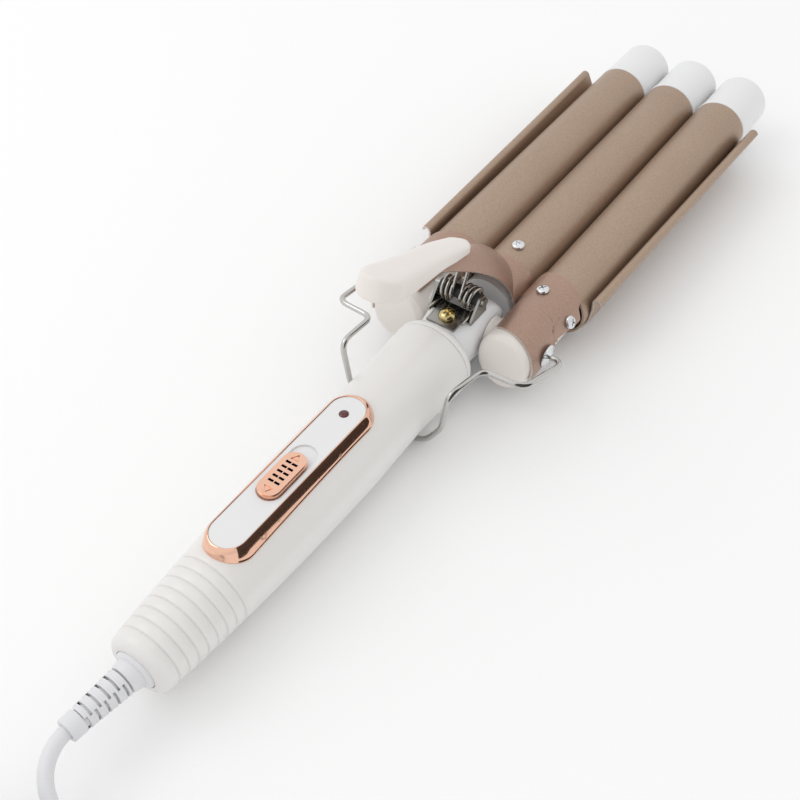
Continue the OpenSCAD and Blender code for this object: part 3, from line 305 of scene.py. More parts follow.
# finishes: stretch is the scale of the pattern along X, Y and Z, so that drawn metal gets long marks
finishes = {
    "whiteShell": {"colour": (0.81, 0.81, 0.815), "second": (0.77, 0.77, 0.775),
        "rough": 0.34, "grain": (1600, 0.05), "wave": (25, 0.04), "fleck": 0.01, "coat": 0.15},
    "warmShell": {"colour": (0.80, 0.785, 0.765), "second": (0.77, 0.75, 0.73),
        "rough": 0.32, "grain": (1600, 0.05), "wave": (25, 0.05), "fleck": 0.01, "coat": 0.15},
    "ivory": {"colour": (0.82, 0.77, 0.73), "second": (0.79, 0.74, 0.70),
        "rough": 0.36, "grain": (1500, 0.06), "wave": (30, 0.05), "fleck": 0.015, "coat": 0.1},
    "copperTrim": {"colour": (0.90, 0.56, 0.42), "second": (0.86, 0.52, 0.38),
        "rough": 0.09, "metal": 1.0, "grain": (700, 0.02), "wave": (60, 0.12),
        "fleck": 0.02, "wear": (260, 0.35)},
    "brownMetal": {"colour": (0.44, 0.325, 0.245), "second": (0.41, 0.30, 0.225),
        "rough": 0.42, "metal": 0.72, "grain": (2600, 0.25), "wave": (40, 0.05),
        "fleck": 0.36, "wear": (900, 0.12)},
    "bridgeMetal": {"colour": (0.43, 0.285, 0.22), "second": (0.395, 0.26, 0.20),
        "rough": 0.36, "metal": 0.55, "grain": (2600, 0.22), "wave": (50, 0.10),
        "fleck": 0.40, "wear": (700, 0.15)},
    # painted highlight: a paler metal for the sheets' rims, standing in for the light caught along their edges
    "paintedEdgeHighlight": {"colour": (0.72, 0.66, 0.62), "second": (0.60, 0.52, 0.47),
        "rough": 0.3, "metal": 0.9, "grain": (1800, 0.2), "wave": (90, 0.1), "fleck": 0.2},
    "steel": {"colour": (0.62, 0.61, 0.59), "second": (0.54, 0.53, 0.51),
        "rough": 0.2, "metal": 1.0, "grain": (900, 0.10), "wave": (70, 0.1),
        "fleck": 0.1, "wear": (500, 0.25), "stretch": (0.2, 1, 1)},
    "brightSteel": {"colour": (0.80, 0.81, 0.82), "second": (0.72, 0.73, 0.74),
        "rough": 0.16, "metal": 1.0, "grain": (900, 0.05), "wave": (90, 0.1),
        "fleck": 0.05, "wear": (500, 0.2)},
    "saddleSteel": {"colour": (0.40, 0.39, 0.36), "second": (0.33, 0.32, 0.30),
        "rough": 0.24, "metal": 1.0, "grain": (900, 0.08), "wave": (90, 0.12),
        "fleck": 0.1, "wear": (500, 0.2)},
    # knobCopper carries painted shade: the floors of the knob's slots are painted near black
    "knobCopper": {"colour": (0.90, 0.56, 0.42), "second": (0.86, 0.52, 0.38),
        "rough": 0.2, "metal": 1.0, "grain": (700, 0.03), "wave": (90, 0.1), "fleck": 0.03,
        "slotShade": {"centre": (-121.9, 0), "half": (6.4, 2.6), "ceiling": 38.85}},
    "springSteel": {"colour": (0.55, 0.53, 0.49), "second": (0.46, 0.44, 0.40),
        "rough": 0.18, "metal": 1.0, "grain": (900, 0.08), "wave": (120, 0.1), "fleck": 0.1},
    "brass": {"colour": (0.66, 0.55, 0.27), "second": (0.52, 0.42, 0.20),
        "rough": 0.16, "metal": 1.0, "grain": (900, 0.08), "wave": (200, 0.2),
        "fleck": 0.1, "wear": (500, 0.3)},
    "lens": {"colour": (0.10, 0.008, 0.010), "second": (0.08, 0.006, 0.008),
        "rough": 0.12, "grain": (900, 0.02), "wave": (200, 0.05), "fleck": 0.05, "coat": 0.6},
    "ceramic": {"colour": (0.72, 0.70, 0.62), "second": (0.66, 0.63, 0.55),
        "rough": 0.7, "grain": (1800, 0.3), "wave": (60, 0.1), "fleck": 0.1},
    "aluminium": {"colour": (0.72, 0.73, 0.74), "second": (0.64, 0.65, 0.66),
        "rough": 0.35, "metal": 1.0, "grain": (900, 0.15), "wave": (60, 0.1),
        "fleck": 0.1, "stretch": (0.1, 1, 1)},
    "board": {"colour": (0.03, 0.13, 0.05), "second": (0.025, 0.10, 0.04),
        "rough": 0.5, "grain": (1200, 0.2), "wave": (80, 0.1), "fleck": 0.2},
    "blackPlastic": {"colour": (0.02, 0.02, 0.022), "second": (0.028, 0.028, 0.03),
        "rough": 0.5, "grain": (1800, 0.3), "wave": (60, 0.1), "fleck": 0.1},
    "cordWhite": {"colour": (0.76, 0.76, 0.775), "second": (0.72, 0.72, 0.735),
        "rough": 0.42, "grain": (1400, 0.1), "wave": (60, 0.1), "fleck": 0.015},
}


def makeFinish(name, f):
    material = bpy.data.materials.new(name)
    material.use_nodes = True
    nodes, links = material.node_tree.nodes, material.node_tree.links
    shader = nodes["Principled BSDF"]
    where = nodes.new("ShaderNodeTexCoord")
    turn = nodes.new("ShaderNodeMapping")
    turn.inputs["Scale"].default_value = f.get("stretch", (1, 1, 1))
    links.new(where.outputs["Object"], turn.inputs["Vector"])
    tint = nodes.new("ShaderNodeGroup")
    tint.node_tree = tintGroup
    tint.inputs["Colour"].default_value = (*f["colour"], 1)
    tint.inputs["Second"].default_value = (*f["second"], 1)
    tint.inputs["Fleck"].default_value = f["fleck"]
    links.new(turn.outputs["Vector"], tint.inputs["Vector"])
    links.new(tint.outputs["Colour"], shader.inputs["Base Color"])
    # painted shade: inside the knob's slots the colour is mixed to near black
    if "slotShade" in f:
        p = f["slotShade"]
        slotShade = nodes.new("ShaderNodeGroup")
        slotShade.node_tree = slotShadeGroup
        slotShade.inputs["Centre"].default_value = (p["centre"][0] * mm, p["centre"][1] * mm, 0)
        slotShade.inputs["Half"].default_value = (p["half"][0] * mm, p["half"][1] * mm, 0)
        slotShade.inputs["Ceiling"].default_value = p["ceiling"] * mm
        links.new(where.outputs["Object"], slotShade.inputs["Vector"])
        paintedSlotShade = nodes.new("ShaderNodeMix")
        paintedSlotShade.data_type = "RGBA"
        links.new(slotShade.outputs["Mask"], paintedSlotShade.inputs["Factor"])
        links.new(tint.outputs["Colour"], paintedSlotShade.inputs["A"])
        paintedSlotShade.inputs["B"].default_value = (0.006, 0.005, 0.005, 1)
        links.new(paintedSlotShade.outputs["Result"], shader.inputs["Base Color"])
    grain = nodes.new("ShaderNodeGroup")
    grain.node_tree = grainGroup
    grain.inputs["Scale"].default_value, grain.inputs["Depth"].default_value = f["grain"]
    grain.inputs["Wave Scale"].default_value, grain.inputs["Wave Depth"].default_value = f["wave"]
    links.new(turn.outputs["Vector"], grain.inputs["Vector"])
    links.new(grain.outputs["Normal"], shader.inputs["Normal"])
    wear = nodes.new("ShaderNodeGroup")
    wear.node_tree = wearGroup
    wear.inputs["Scale"].default_value, wear.inputs["Amount"].default_value = f.get("wear", (400, 0.1))
    links.new(turn.outputs["Vector"], wear.inputs["Vector"])
    patch = maths(nodes, links, "MULTIPLY", tint.outputs["Patch"], 0.12)
    rough = maths(nodes, links, "ADD", patch, f["rough"] - 0.06)
    links.new(maths(nodes, links, "ADD", rough, wear.outputs["Mask"]), shader.inputs["Roughness"])
    shader.inputs["Metallic"].default_value = f.get("metal", 0.0)
    shader.inputs["Coat Weight"].default_value = f.get("coat", 0.0)
    shader.inputs["Coat Roughness"].default_value = 0.12
    return material


finish = {name: makeFinish(name, f) for name, f in finishes.items()}
slotFinish = {"white_shell": "whiteShell", "ivory": "ivory", "copper_trim": "copperTrim",
    "brown_metal": "brownMetal", "bridge_metal": "bridgeMetal",
    "steel": "brightSteel", "brass": "brass", "lens": "lens", "ceramic": "ceramic",
    "aluminium": "aluminium", "board": "board", "black_plastic": "blackPlastic", "cord_white": "cordWhite"}
nodeFinish = {"switch_knob": "knobCopper", "spring_saddle": "saddleSteel", "spring_pin": "saddleSteel"}
for part in frame["record"]["subparts"]:
    mesh = frame["nodes"][part["node"]].data
    mesh.materials.clear()
    look = nodeFinish.get(part["node"], slotFinish[part["material_slot"]])
    mesh.materials.append(finish[look])
cordTube.data.materials.append(finish["cordWhite"])
print("finishes")

# modelling helpers


def deselect():
    if bpy.context.object and bpy.context.object.mode != "OBJECT":
        bpy.ops.object.mode_set(mode="OBJECT")
    bpy.ops.object.select_all(action="DESELECT")


def only(piece):
    deselect()
    piece.select_set(True)
    bpy.context.view_layer.objects.active = piece


def tidy(piece, angle=32, merge=0.00002):
    only(piece)
    bpy.ops.object.mode_set(mode="EDIT")
    bpy.ops.mesh.select_all(action="SELECT")
    bpy.ops.mesh.remove_doubles(threshold=merge)
    bpy.ops.mesh.normals_make_consistent(inside=False)
    bpy.ops.object.mode_set(mode="OBJECT")
    bpy.ops.object.shade_smooth_by_angle(angle=radians(angle))


def finished(piece, look, body, slot, *nodes):
    if not piece.data.materials:
        piece.data.materials.append(finish[look])
    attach(piece, body)
    if nodes:
        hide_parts(*nodes)
    return piece


def softened(profile, radius):
    out = [profile[0]]
    for a, b, c in zip(profile, profile[1:], profile[2:]):
        u, w = Vector(a) - Vector(b), Vector(c) - Vector(b)
        if u.length < 1e-6 or w.length < 1e-6 or u.angle(w) > radians(160):
            out.append(b)
            continue
        d = min(radius, 0.45 * u.length, 0.45 * w.length)
        p, q = Vector(b) + d * u.normalized(), Vector(b) + d * w.normalized()
        out += [bezier(p, b, q, t) for t in (0, 0.25, 0.5, 0.75, 1)]
    return out + [profile[-1]]


def turned(name, profile, matrix, sides=64, angle=32):
    # a ring is drawn out along the profile, (distance, radius), and scaled at each step
    deselect()
    closed = 0.01
    (z, r), rest = profile[0], profile[1:]
    r = max(r, closed)
    bpy.ops.mesh.primitive_circle_add(vertices=sides, radius=r * mm, fill_type="NOTHING", location=(0, 0, z * mm))
    piece = bpy.context.object
    piece.name = name
    bpy.ops.object.transform_apply(location=True)
    bpy.ops.object.mode_set(mode="EDIT")
    bpy.ops.mesh.select_all(action="SELECT")
    for z2, r2 in rest:
        r2 = max(r2, closed)
        bpy.ops.mesh.extrude_region_move(TRANSFORM_OT_translate={"value": (0, 0, (z2 - z) * mm)})
        bpy.ops.transform.resize(value=(r2 / r, r2 / r, 1), center_override=(0, 0, z2 * mm))
        z, r = z2, r2
    bpy.ops.object.mode_set(mode="OBJECT")
    piece.matrix_world = matrix
    bpy.ops.object.transform_apply(location=True, rotation=True, scale=True)
    tidy(piece, angle)
    return piece


def lengthwise(y=0, z=0):
    return Matrix.Translation(place(0, y, z)) @ Matrix.Rotation(pi / 2, 4, "Y")


def sideways(x, z, side=1):
    return Matrix.Translation(place(x, 0, z)) @ Matrix.Rotation(-side * pi / 2, 4, "X")


def gridPiece(name, rows, columns, where, angle=32, merge=0.00002):
    deselect()
    bpy.ops.mesh.primitive_grid_add(x_subdivisions=rows, y_subdivisions=columns, size=2)
    piece = bpy.context.object
    piece.name = name
    for v in piece.data.vertices:
        i, j = round((v.co.x + 1) / 2 * rows), round((v.co.y + 1) / 2 * columns)
        v.co = place(*where(i, j))
    tidy(piece, angle, merge)
    return piece


def thicken(piece, thickness, edge, rounding, outward):
    piece.data.materials.append(finish[edge[0]])
    piece.data.materials.append(finish[edge[1]])
    solid = piece.modifiers.new("wall", "SOLIDIFY")
    solid.thickness = thickness * mm
    solid.offset = outward
    solid.use_even_offset = True
    # the rims take the second finish, a paler metal painted as a highlight along the sheet's edges
    solid.material_offset_rim = 1
    solid.use_rim = True
    bevel = piece.modifiers.new("edge", "BEVEL")
    bevel.width = rounding * mm
    bevel.segments = 2
    bevel.limit_method = "ANGLE"
    bevel.angle_limit = radians(50)
    only(piece)
    for modifier in [m.name for m in piece.modifiers]:
        bpy.ops.object.modifier_apply(modifier=modifier)
    bpy.ops.object.shade_smooth_by_angle(angle=radians(38))


def joined(name, pieces):
    deselect()
    for piece in pieces:
        piece.select_set(True)
    bpy.context.view_layer.objects.active = pieces[0]
    if len(pieces) > 1:
        bpy.ops.object.join()
    pieces[0].name = name
    return pieces[0]


# handle
handle = {"collar": 17.0, "waist": 15.95, "belly": 16.8, "tail": 12.4, "end": 190.5, "round": 3.6, "wall": 2.2,
    "front": 24.0, "grooves": 8, "pitch": 4.3, "depth": 0.6, "waistAt": 50, "bellyAt": 88, "pullAt": 140}


def handleRadius(x):
    h = handle
    if x < h["waistAt"]:
        return mix(h["collar"], h["waist"], ease(h["front"], h["waistAt"], x))
    if x < h["bellyAt"]:
        return mix(h["waist"], h["belly"], ease(h["waistAt"], h["bellyAt"], x))
    end = h["end"] - 2.5
    x = min(x, end)
    # where along the last curve this place is, before its radius is read
    a, b, c = h["bellyAt"] - 2 * h["pullAt"] + end, 2 * (h["pullAt"] - h["bellyAt"]), h["bellyAt"] - x
    t = (-b + sqrt(b * b - 4 * a * c)) / (2 * a)
    return bezier((h["belly"],), (h["belly"] - 0.2,), (h["tail"],), t)[0]


def buildHandle(h):
    first = h["end"] - 6.5 - (h["grooves"] - 1) * h["pitch"]
    outer, x = [], h["front"] + 0.5
    stops = [first + i * h["pitch"] for i in range(h["grooves"])]
    while x < first - 2:
        outer.append((x, handleRadius(x)))
        x += 3
    for g in stops:
        r = handleRadius(g)
        outer += [(g - 2.2, handleRadius(g - 2.2)), (g - 0.75, r - 0.02), (g - 0.38, r - 0.34 * h["depth"]),
            (g - 0.15, r - h["depth"]), (g + 0.15, r - h["depth"]), (g + 0.34, r - 0.3 * h["depth"]),
            (g + 0.7, handleRadius(g + 0.7) + 0.03)]
    arc = [(h["end"] - h["round"] + h["round"] * sin(radians(a)),
            h["tail"] - h["round"] + h["round"] * cos(radians(a)))
        for a in range(0, 91, 10)]
    inner = [(h["end"], 8.1), (h["end"] - 2.6, 8.1), (h["end"] - 3.4, 9.2)]
    x = h["end"] - 8
    while x > h["front"] + 2:
        inner.append((x, handleRadius(x) - h["wall"]))
        x -= 12
    lip = [(h["front"] + 0.05, h["collar"] - h["wall"]), (h["front"] + 0.05, h["collar"] - 0.45),
        (h["front"] + 0.12, h["collar"] - 0.15), (h["front"] + 0.35, h["collar"] - 0.02)]
    profile = lip + outer + arc + inner + [lip[0]]
    shell = turned("handle_shell", [(-x, r) for x, r in profile], lengthwise(), 96, 40)
    finished(shell, "warmShell", "handle", "white_shell", "handle_housing")
    r = h["collar"] - 0.1
    ring = softened([(-23.9, 14.8), (-23.9, r), (-21.9, r), (-21.9, 14.8)], 0.35)
    collar = turned("collar_ring", ring + [ring[0]], lengthwise(), 96)
    finished(collar, "warmShell", "handle", "white_shell", "front_collar")


buildHandle(handle)
print("handle")

# hub: sections along the axis, round at the neck and box-like at the head
hub = {"half": 12.3, "head": 11.0, "hingeZ": 3.1, "neckZ": 1.6, "seat": 13.05, "flange": 16.5}


def buildHub(h):
    stations = [-23.8, -21.85, -21.8, -20.6, -20.2, -19.4, -18.6, -18.2, -17.6, -14, -10, -6, -3, -0.3,
        0.4, 2, 4, 6, 7.5, 8.8, 9.7, 10.3, 10.7, 10.9, 11.0]
    radii = {-23.8: 14.7, -21.85: 14.7, -21.8: h["flange"], -20.6: 16.2, -20.2: 15.7, -19.4: 14.4, -18.6: 13.0}
    sides = 96

    def where(i, j):
        a = 2 * pi * j / sides
        x = stations[max(0, min(i - 1, len(stations) - 1))]
        if i == 0 or i == len(stations) + 1:
            a, scale = 0.0, 0.0
        else:
            scale = 1.0
        if x in radii:
            r = radii[x] * scale
            return (x, r * cos(a), r * sin(a))
        headed = ease(-16, -2, x)
        n = mix(2.0, 3.6, headed)
        up = mix(h["half"], h["head"], headed)
        if x > 0:
            up = max(0.3, sqrt(max(0.0, h["head"] ** 2 - min(x, h["head"]) ** 2)))
        side = h["half"] - 0.05 - 0.9 * ease(6, 11, x)
        ca, sa = cos(a), sin(a)
        y = side * copysign(abs(ca) ** (2 / n), ca) * scale
        z = mix(h["neckZ"], h["hingeZ"], headed) + up * copysign(abs(sa) ** (2 / n), sa) * scale
        if -18.3 < x < -0.2:
            z = min(z, h["seat"])
        return (x, y, z)

    body = gridPiece("hub_body", len(stations) + 1, sides, where, 40)
    finished(body, "whiteShell", "handle", "white_shell", "hub")


buildHub(hub)

# barrels and caps
barrels = {"pitch": 25.5, "radius": 12.5, "root": 29.0, "length": 150.0, "wall": 1.0}
caps = {"radius": 12.2, "length": 28.5, "rim": 12.65, "rimLength": 2.6, "round": 3.2}


def buildBarrels(b, c):
    tip = b["root"] + b["length"]
    for side, y in (("left", b["pitch"]), ("middle", 0), ("right", -b["pitch"])):
        inside = b["radius"] - b["wall"]
        tube = softened([(b["root"], inside), (b["root"], b["radius"]), (b["root"] + 50, b["radius"]),
            (b["root"] + 100, b["radius"]), (tip, b["radius"]), (tip, inside), (b["root"], inside)], 0.25)
        barrel = turned("barrel_tube_" + side, tube, lengthwise(y), 96)
        finished(barrel, "brownMetal", "jaw", "brown_metal", "barrel_" + side)
        r = c["radius"]
        arc = [(tip + c["length"] - c["round"] + c["round"] * sin(radians(a)),
                r - c["round"] + c["round"] * cos(radians(a)))
            for a in range(0, 91, 9)]
        shape = softened([(tip - 4, 0), (tip - 4, inside - 0.1), (tip + 0.05, inside - 0.1), (tip + 0.05, c["rim"]),
            (tip + c["rimLength"], c["rim"]), (tip + c["rimLength"] + 0.1, r + 0.02),
            (tip + c["rimLength"] + 1.2, r)], 0.5)
        end = [(x, q) for x, q in arc if q > 0]
        end += [(tip + c["length"] + 0.12, r - c["round"] - 2.5), (tip + c["length"] + 0.2, 0)]
        cap = turned("cap_" + side, shape + [(tip + 10, r), (tip + 18, r)] + end, lengthwise(y), 96)
        finished(cap, "whiteShell", "jaw", "white_shell", "tip_cap_" + side)


buildBarrels(barrels, caps)
print("hub, barrels and caps")

# base plugs: a plug at each outer root with its boss
plugs = {"radius": 11.7, "y": 24.9, "z": 1.9, "rear": 13.0, "neck": 10.8, "boss": 6.1, "tilt": 0.15}


def buildPlugs(p):
    for name, side in (("left", 1), ("right", -1)):
        r = p["radius"]
        shape = softened([(-p["rear"] - 0.15, 0), (-p["rear"], r - 3.2), (-p["rear"] + 0.4, r - 1.4),
            (-p["rear"] + 2.6, r), (4, r), (4, p["neck"])], 0.9) + [(28.6, p["neck"]), (28.6, 0)]
        plug = turned("root_plug_" + name, shape, lengthwise(side * p["y"], p["z"]), 96)
        for v in plug.data.vertices:
            x, z = v.co.x / mm - hingeX, v.co.z / mm - axisZ
            v.co.x += p["tilt"] * (z - p["z"]) * mm * ease(-8, -12, x)
        knuckle = softened([(5.5, 0), (5.5, 4.45), (12.35, 4.45), (12.35, p["boss"] + 0.5), (13.2, p["boss"]),
            (15.5, p["boss"]), (20, p["boss"] + 0.6), (20, 0)], 0.5)
        boss = turned("boss", knuckle, sideways(0, hub["hingeZ"], side), 64)
        whole = joined("root_plug_" + name, [plug, boss])
        finished(whole, "ivory", "jaw", "white_shell", "base_plug_" + name)


buildPlugs(plugs)

# clamp plate: troughs, side walls and rolled rims from one sheet
plate = {"near": 33.0, "length": 143.0, "trough": 13.2, "ridge": 72, "wall": 6.4, "rim": 2.1, "splay": 3.0,
    "drop": 1.3, "sheet": 1.0}


def plateRow(p, u):
    wallY = barrels["pitch"] + p["trough"]
    leanOut = p["splay"] * u
    row = [(p["trough"] * sin(radians(a)), -p["trough"] * cos(radians(a))) for a in range(0, p["ridge"] + 1, 4)]
    row += [(barrels["pitch"] + p["trough"] * sin(radians(a)), -p["trough"] * cos(radians(a)))
        for a in range(-p["ridge"], 91, 4)]
    row += [(wallY + 0.5 + leanOut * h, p["wall"] * h) for h in (0.33, 0.66, 1)]
    curl = p["rim"] - p["sheet"] / 2
    row += [(wallY + 0.6 + leanOut + curl - curl * cos(radians(a)), p["wall"] + curl * sin(radians(a)))
        for a in range(12, 181, 12)]
    return [(y, z - p["drop"] * u) for y, z in row]


def buildPlate(p):
    stops = [i / 24 for i in range(25)]
    half = [plateRow(p, u) for u in stops]
    count = len(half[0])

    def where(i, j):
        k = j - (count - 1)
        y, z = half[i][abs(k)]
        return (p["near"] + p["length"] * stops[i], y if k >= 0 else -y, z)

    sheet = gridPiece("clamp_sheet", 24, 2 * (count - 1), where, 50)
    thicken(sheet, p["sheet"], ("brownMetal", "paintedEdgeHighlight"), 0.12, 0)
    finished(sheet, "brownMetal", "handle", "brown_metal", "clamp_plate")


buildPlate(plate)
print("plugs and plate")

# bridge: sleeves over the side roots, a saddle over the middle one and the tongue
bridge = {"sheet": 1.0, "inside": 12.6, "front": 32.0, "rear": 7.0, "valley": 74, "slot": 17.0,
    "root": 11.8, "tip": 3.5}
tongueMid = ((28, 13.2), (11, 42.5), (-26, 49))
tongueEdge = ((17.5, 6), (9, 30), (-26.5, 48.2))


def sleevePoint(x, a, t):
    near = 1 - ease(6, 24, x)
    r = mix(bridge["inside"], plugs["radius"] + 0.1, near) + t
    y, z = mix(barrels["pitch"], plugs["y"], near), plugs["z"] * near
    return (x, y - r * sin(radians(a)), z + r * cos(radians(a)))


def sleeveReach(u, a):
    b = bridge
    front = b["front"] + 0.3 + 0.06 * min(a, 38) - 3.5 * ease(45, 58, -a) - 2.6 * ease(38, 70, a)
    return mix(-b["rear"] + 0.045 * a, front, u)


def outerEdge(x):
    return -75 - 31 * (1 - ease(4, 7, x))


def innerEdge(x):
    b = bridge
    near = mix(34, 41, (x + b["rear"]) / (b["slot"] + b["rear"]))
    return near + (b["valley"] - 42) * ease(b["slot"], b["slot"] + 1.4, x)


def edgeAt(u, edge, low, high):
    for _ in range(24):
        mid = (low + high) / 2
        if mid < edge(sleeveReach(u, mid)):
            low = mid
        else:
            high = mid
    return (low + high) / 2


def sleeveRow(u, steps):
    outer, inner = edgeAt(u, outerEdge, -110, -70), edgeAt(u, innerEdge, 20, 80)
    spots = [mix(outer, inner, i / steps) for i in range(steps + 1)]
    return [sleevePoint(sleeveReach(u, a), a, bridge["sheet"] / 2) for a in spots]


def tonguePoint(s, v, t):
    def at(s, v):
        mid, edge = bezier(*tongueMid, s), bezier(*tongueEdge, s)
        half = mix(bridge["root"], bridge["tip"], s ** 2.2)
        return Vector((mix(mid[0], edge[0], v * v), v * half, mix(mid[1], edge[1], v * v)))
    out = (at(s, v + 0.05) - at(s, v - 0.05)).cross(at(s + 0.02, v) - at(max(0, s - 0.02), v)).normalized()
    return at(s, v) + t * out


def buildBridge(b):
    stops = [i / 96 for i in range(97)]
    rows = [sleeveRow(u, 40) for u in stops]
    parts = []
    for side in (1, -1):
        def sleeveAt(i, j):
            return (rows[i][j][0], side * rows[i][j][1], rows[i][j][2])

        parts.append(gridPiece("sleeve", len(stops) - 1, 40, sleeveAt, 50))

    def saddleAt(i, j):
        a = b["valley"] * (j - 24) / 24
        lift = 1.0 * ease(15, 24, abs(a)) * (1 - ease(56, 66, abs(a))) * ease(0.6, 1, i / 8)
        r = b["inside"] + b["sheet"] / 2 + lift
        lateral = min(1, abs(r * sin(radians(a))) / b["root"])
        rear = tonguePoint(0, lateral, 0).x - 1.2
        return (mix(rear, b["front"] - 0.5, i / 8), r * sin(radians(a)), r * cos(radians(a)))

    parts.append(gridPiece("saddle", 8, 48, saddleAt, 50))
    parts.append(gridPiece("tongue", 36, 24,
        lambda i, j: tonguePoint(i / 36, (12 - j) / 12, -b["sheet"] / 2), 50))
    for part in parts:
        thicken(part, b["sheet"], ("bridgeMetal", "paintedEdgeHighlight"), 0.14, 0)
    finished(joined("bridge_sheet", parts), "bridgeMetal", "jaw", "bridge_metal", "barrel_bridge")


buildBridge(bridge)
print("bridge")

# thumb lever: a paddle of soft-cornered sections along its slope
lever = {"tip": (2.4, 40.8), "slope": 24.5, "start": 5.0, "end": 69.0, "front": 5.0, "rear": 9.2, "crown": 0.45,
    "half": [(5, 4.3), (10, 5.1), (15, 5.6), (20.5, 6.1), (30, 6.5), (40, 6.95), (52, 7.85), (60, 8.5), (69, 8.6)],
    "top": [(5, 1.5), (10, 1.95), (24, 2.0), (30, 1.6), (35, 1.2), (40, 0.85), (50, 0.3), (58, 0.0), (69, -0.5)],
    "under": [(5, -1.2), (10, -1.5), (20, -2.6), (28, -3.4), (33, -4.4), (40, -6.2), (50, -8.2), (58, -8.8),
        (69, -9.0)]}


def buildLever(l):
    slope = radians(l["slope"])
    sides = 72
    nose, heel = l["start"] + l["front"], l["end"] - l["rear"]
    stops = [nose - l["front"] * cos(radians(a)) for a in range(0, 91, 9)]
    stops += [nose + i * 2.5 for i in range(1, int((heel - nose) / 2.5))]
    stops += [heel + l["rear"] * sin(radians(a)) for a in range(0, 91, 6)]

    def where(i, j):
        u = stops[max(0, min(i - 1, len(stops) - 1))]
        flat = 0.0 if i in (0, len(stops) + 1) else 1.0
        plan = 1.0
        if u < nose:
            plan = sqrt(max(0, 1 - ((nose - u) / l["front"]) ** 2))
        if u > heel:
            plan = sqrt(max(0, 1 - ((u - heel) / l["rear"]) ** 2))
        soft = 1 - (1 - plan) ** 5
        a = 2 * pi * j / sides
        n = 5.5
        ca = copysign(abs(cos(a)) ** (2 / n), cos(a))
        sa = copysign(abs(sin(a)) ** (2 / n), sin(a))
        top, under = along(l["top"], u), along(l["under"], u)
        mid, tall = (top + under) / 2, (top - under) / 2
        draft = 1 - 0.05 * sa
        y = along(l["half"], u) * max(plan, 0.02) * draft * ca * flat
        w = mid + tall * mix(0.62, 1, soft) * sa * flat
        w += l["crown"] * (1 - ca * ca) * soft * (1 if sa > 0 else 0)
        return (l["tip"][0] - u * cos(slope) + w * sin(slope), y, l["tip"][1] + u * sin(slope) + w * cos(slope))

    paddle = gridPiece("lever_paddle", len(stops) + 1, sides, where, 45)
    finished(paddle, "ivory", "jaw", "ivory", "thumb_lever")


buildLever(lever)
print("lever")

# trim ring: plated band from the handle's surface up to the panel
trim = {"front": 67.6, "length": 84.0, "inner": 6.85, "outer": 9.45, "top": 18.85}


def buildTrim(t):
    near, far = -t["front"] - 9.8, -t["front"] - t["length"] + 9.8
    path = []
    for i in range(33):
        a = radians(-90 + 180 * i / 32)
        path.append((near, 0, cos(a), sin(a)))
    path += [(mix(near, far, i / 20), 0, 0, 1) for i in range(1, 20)]
    for i in range(33):
        a = radians(90 + 180 * i / 32)
        path.append((far, 0, cos(a), sin(a)))
    path += [(mix(far, near, i / 20), 0, 0, -1) for i in range(1, 20)]
    wide = t["outer"] - t["inner"]
    band = [("skin", 1.0, -1.2), ("skin", 1.0, -0.2), ("skin", 1.0, 0.3), ("skin", 0.985, 0.5), ("skin", 0.95, 0.66),
        ("mix", 0.90, 0.14), ("mix", 0.82, 0.30), ("mix", 0.72, 0.48), ("mix", 0.60, 0.65),
        ("mix", 0.47, 0.79), ("mix", 0.34, 0.89), ("mix", 0.22, 0.955), ("mix", 0.12, 0.99),
        ("mix", 0.06, 1.0), ("mix", 0.02, 0.98), ("mix", 0.0, 0.93), ("low", 0.0, -1.0), ("low", 0.0, -2.6)]

    def where(i, j):
        x, y, dx, dy = path[i % len(path)]
        kind, k, v = band[j % len(band)]
        d = t["inner"] + wide * k
        px, py = x + d * dx, y + d * dy
        ox, oy = x + t["outer"] * dx, y + t["outer"] * dy
        skin = sqrt(max(1.0, handleRadius(-ox) ** 2 - oy * oy))
        if kind == "skin":
            z = skin + v
        elif kind == "mix":
            z = mix(skin + 0.66, t["top"], v)
        else:
            z = t["top"] + v
        return (px, py, z)

    ring = gridPiece("plated_ring", len(path), len(band), where, 50)
    finished(ring, "copperTrim", "handle", "copper_trim", "trim_ring")


buildTrim(trim)

# lens, saddle screw and small screws
lensAt = {"x": -79.2, "radius": 1.8, "base": 15.6, "top": 18.75}


def buildLens(l):
    r = l["radius"]
    dome = [(l["top"] - 0.1 + 0.5 * sin(radians(a)), r * cos(radians(a))) for a in range(0, 91, 15)]
    dome[-1] = (dome[-1][0], 0)
    foot = [(l["base"], 0), (l["base"], r + 0.6), (l["base"] + 0.5, r + 0.6), (l["base"] + 0.5, r)]
    lens = turned("lens_dome", foot + dome, Matrix.Translation(place(l["x"], 0, 0)), 40)
    finished(lens, "lens", "handle", "lens", "indicator_lens")


buildLens(lensAt)
screwHead = {"radius": 2.7, "dome": 0.95, "rim": 0.75, "cross": 3.0, "slot": 0.62, "deep": 0.75}


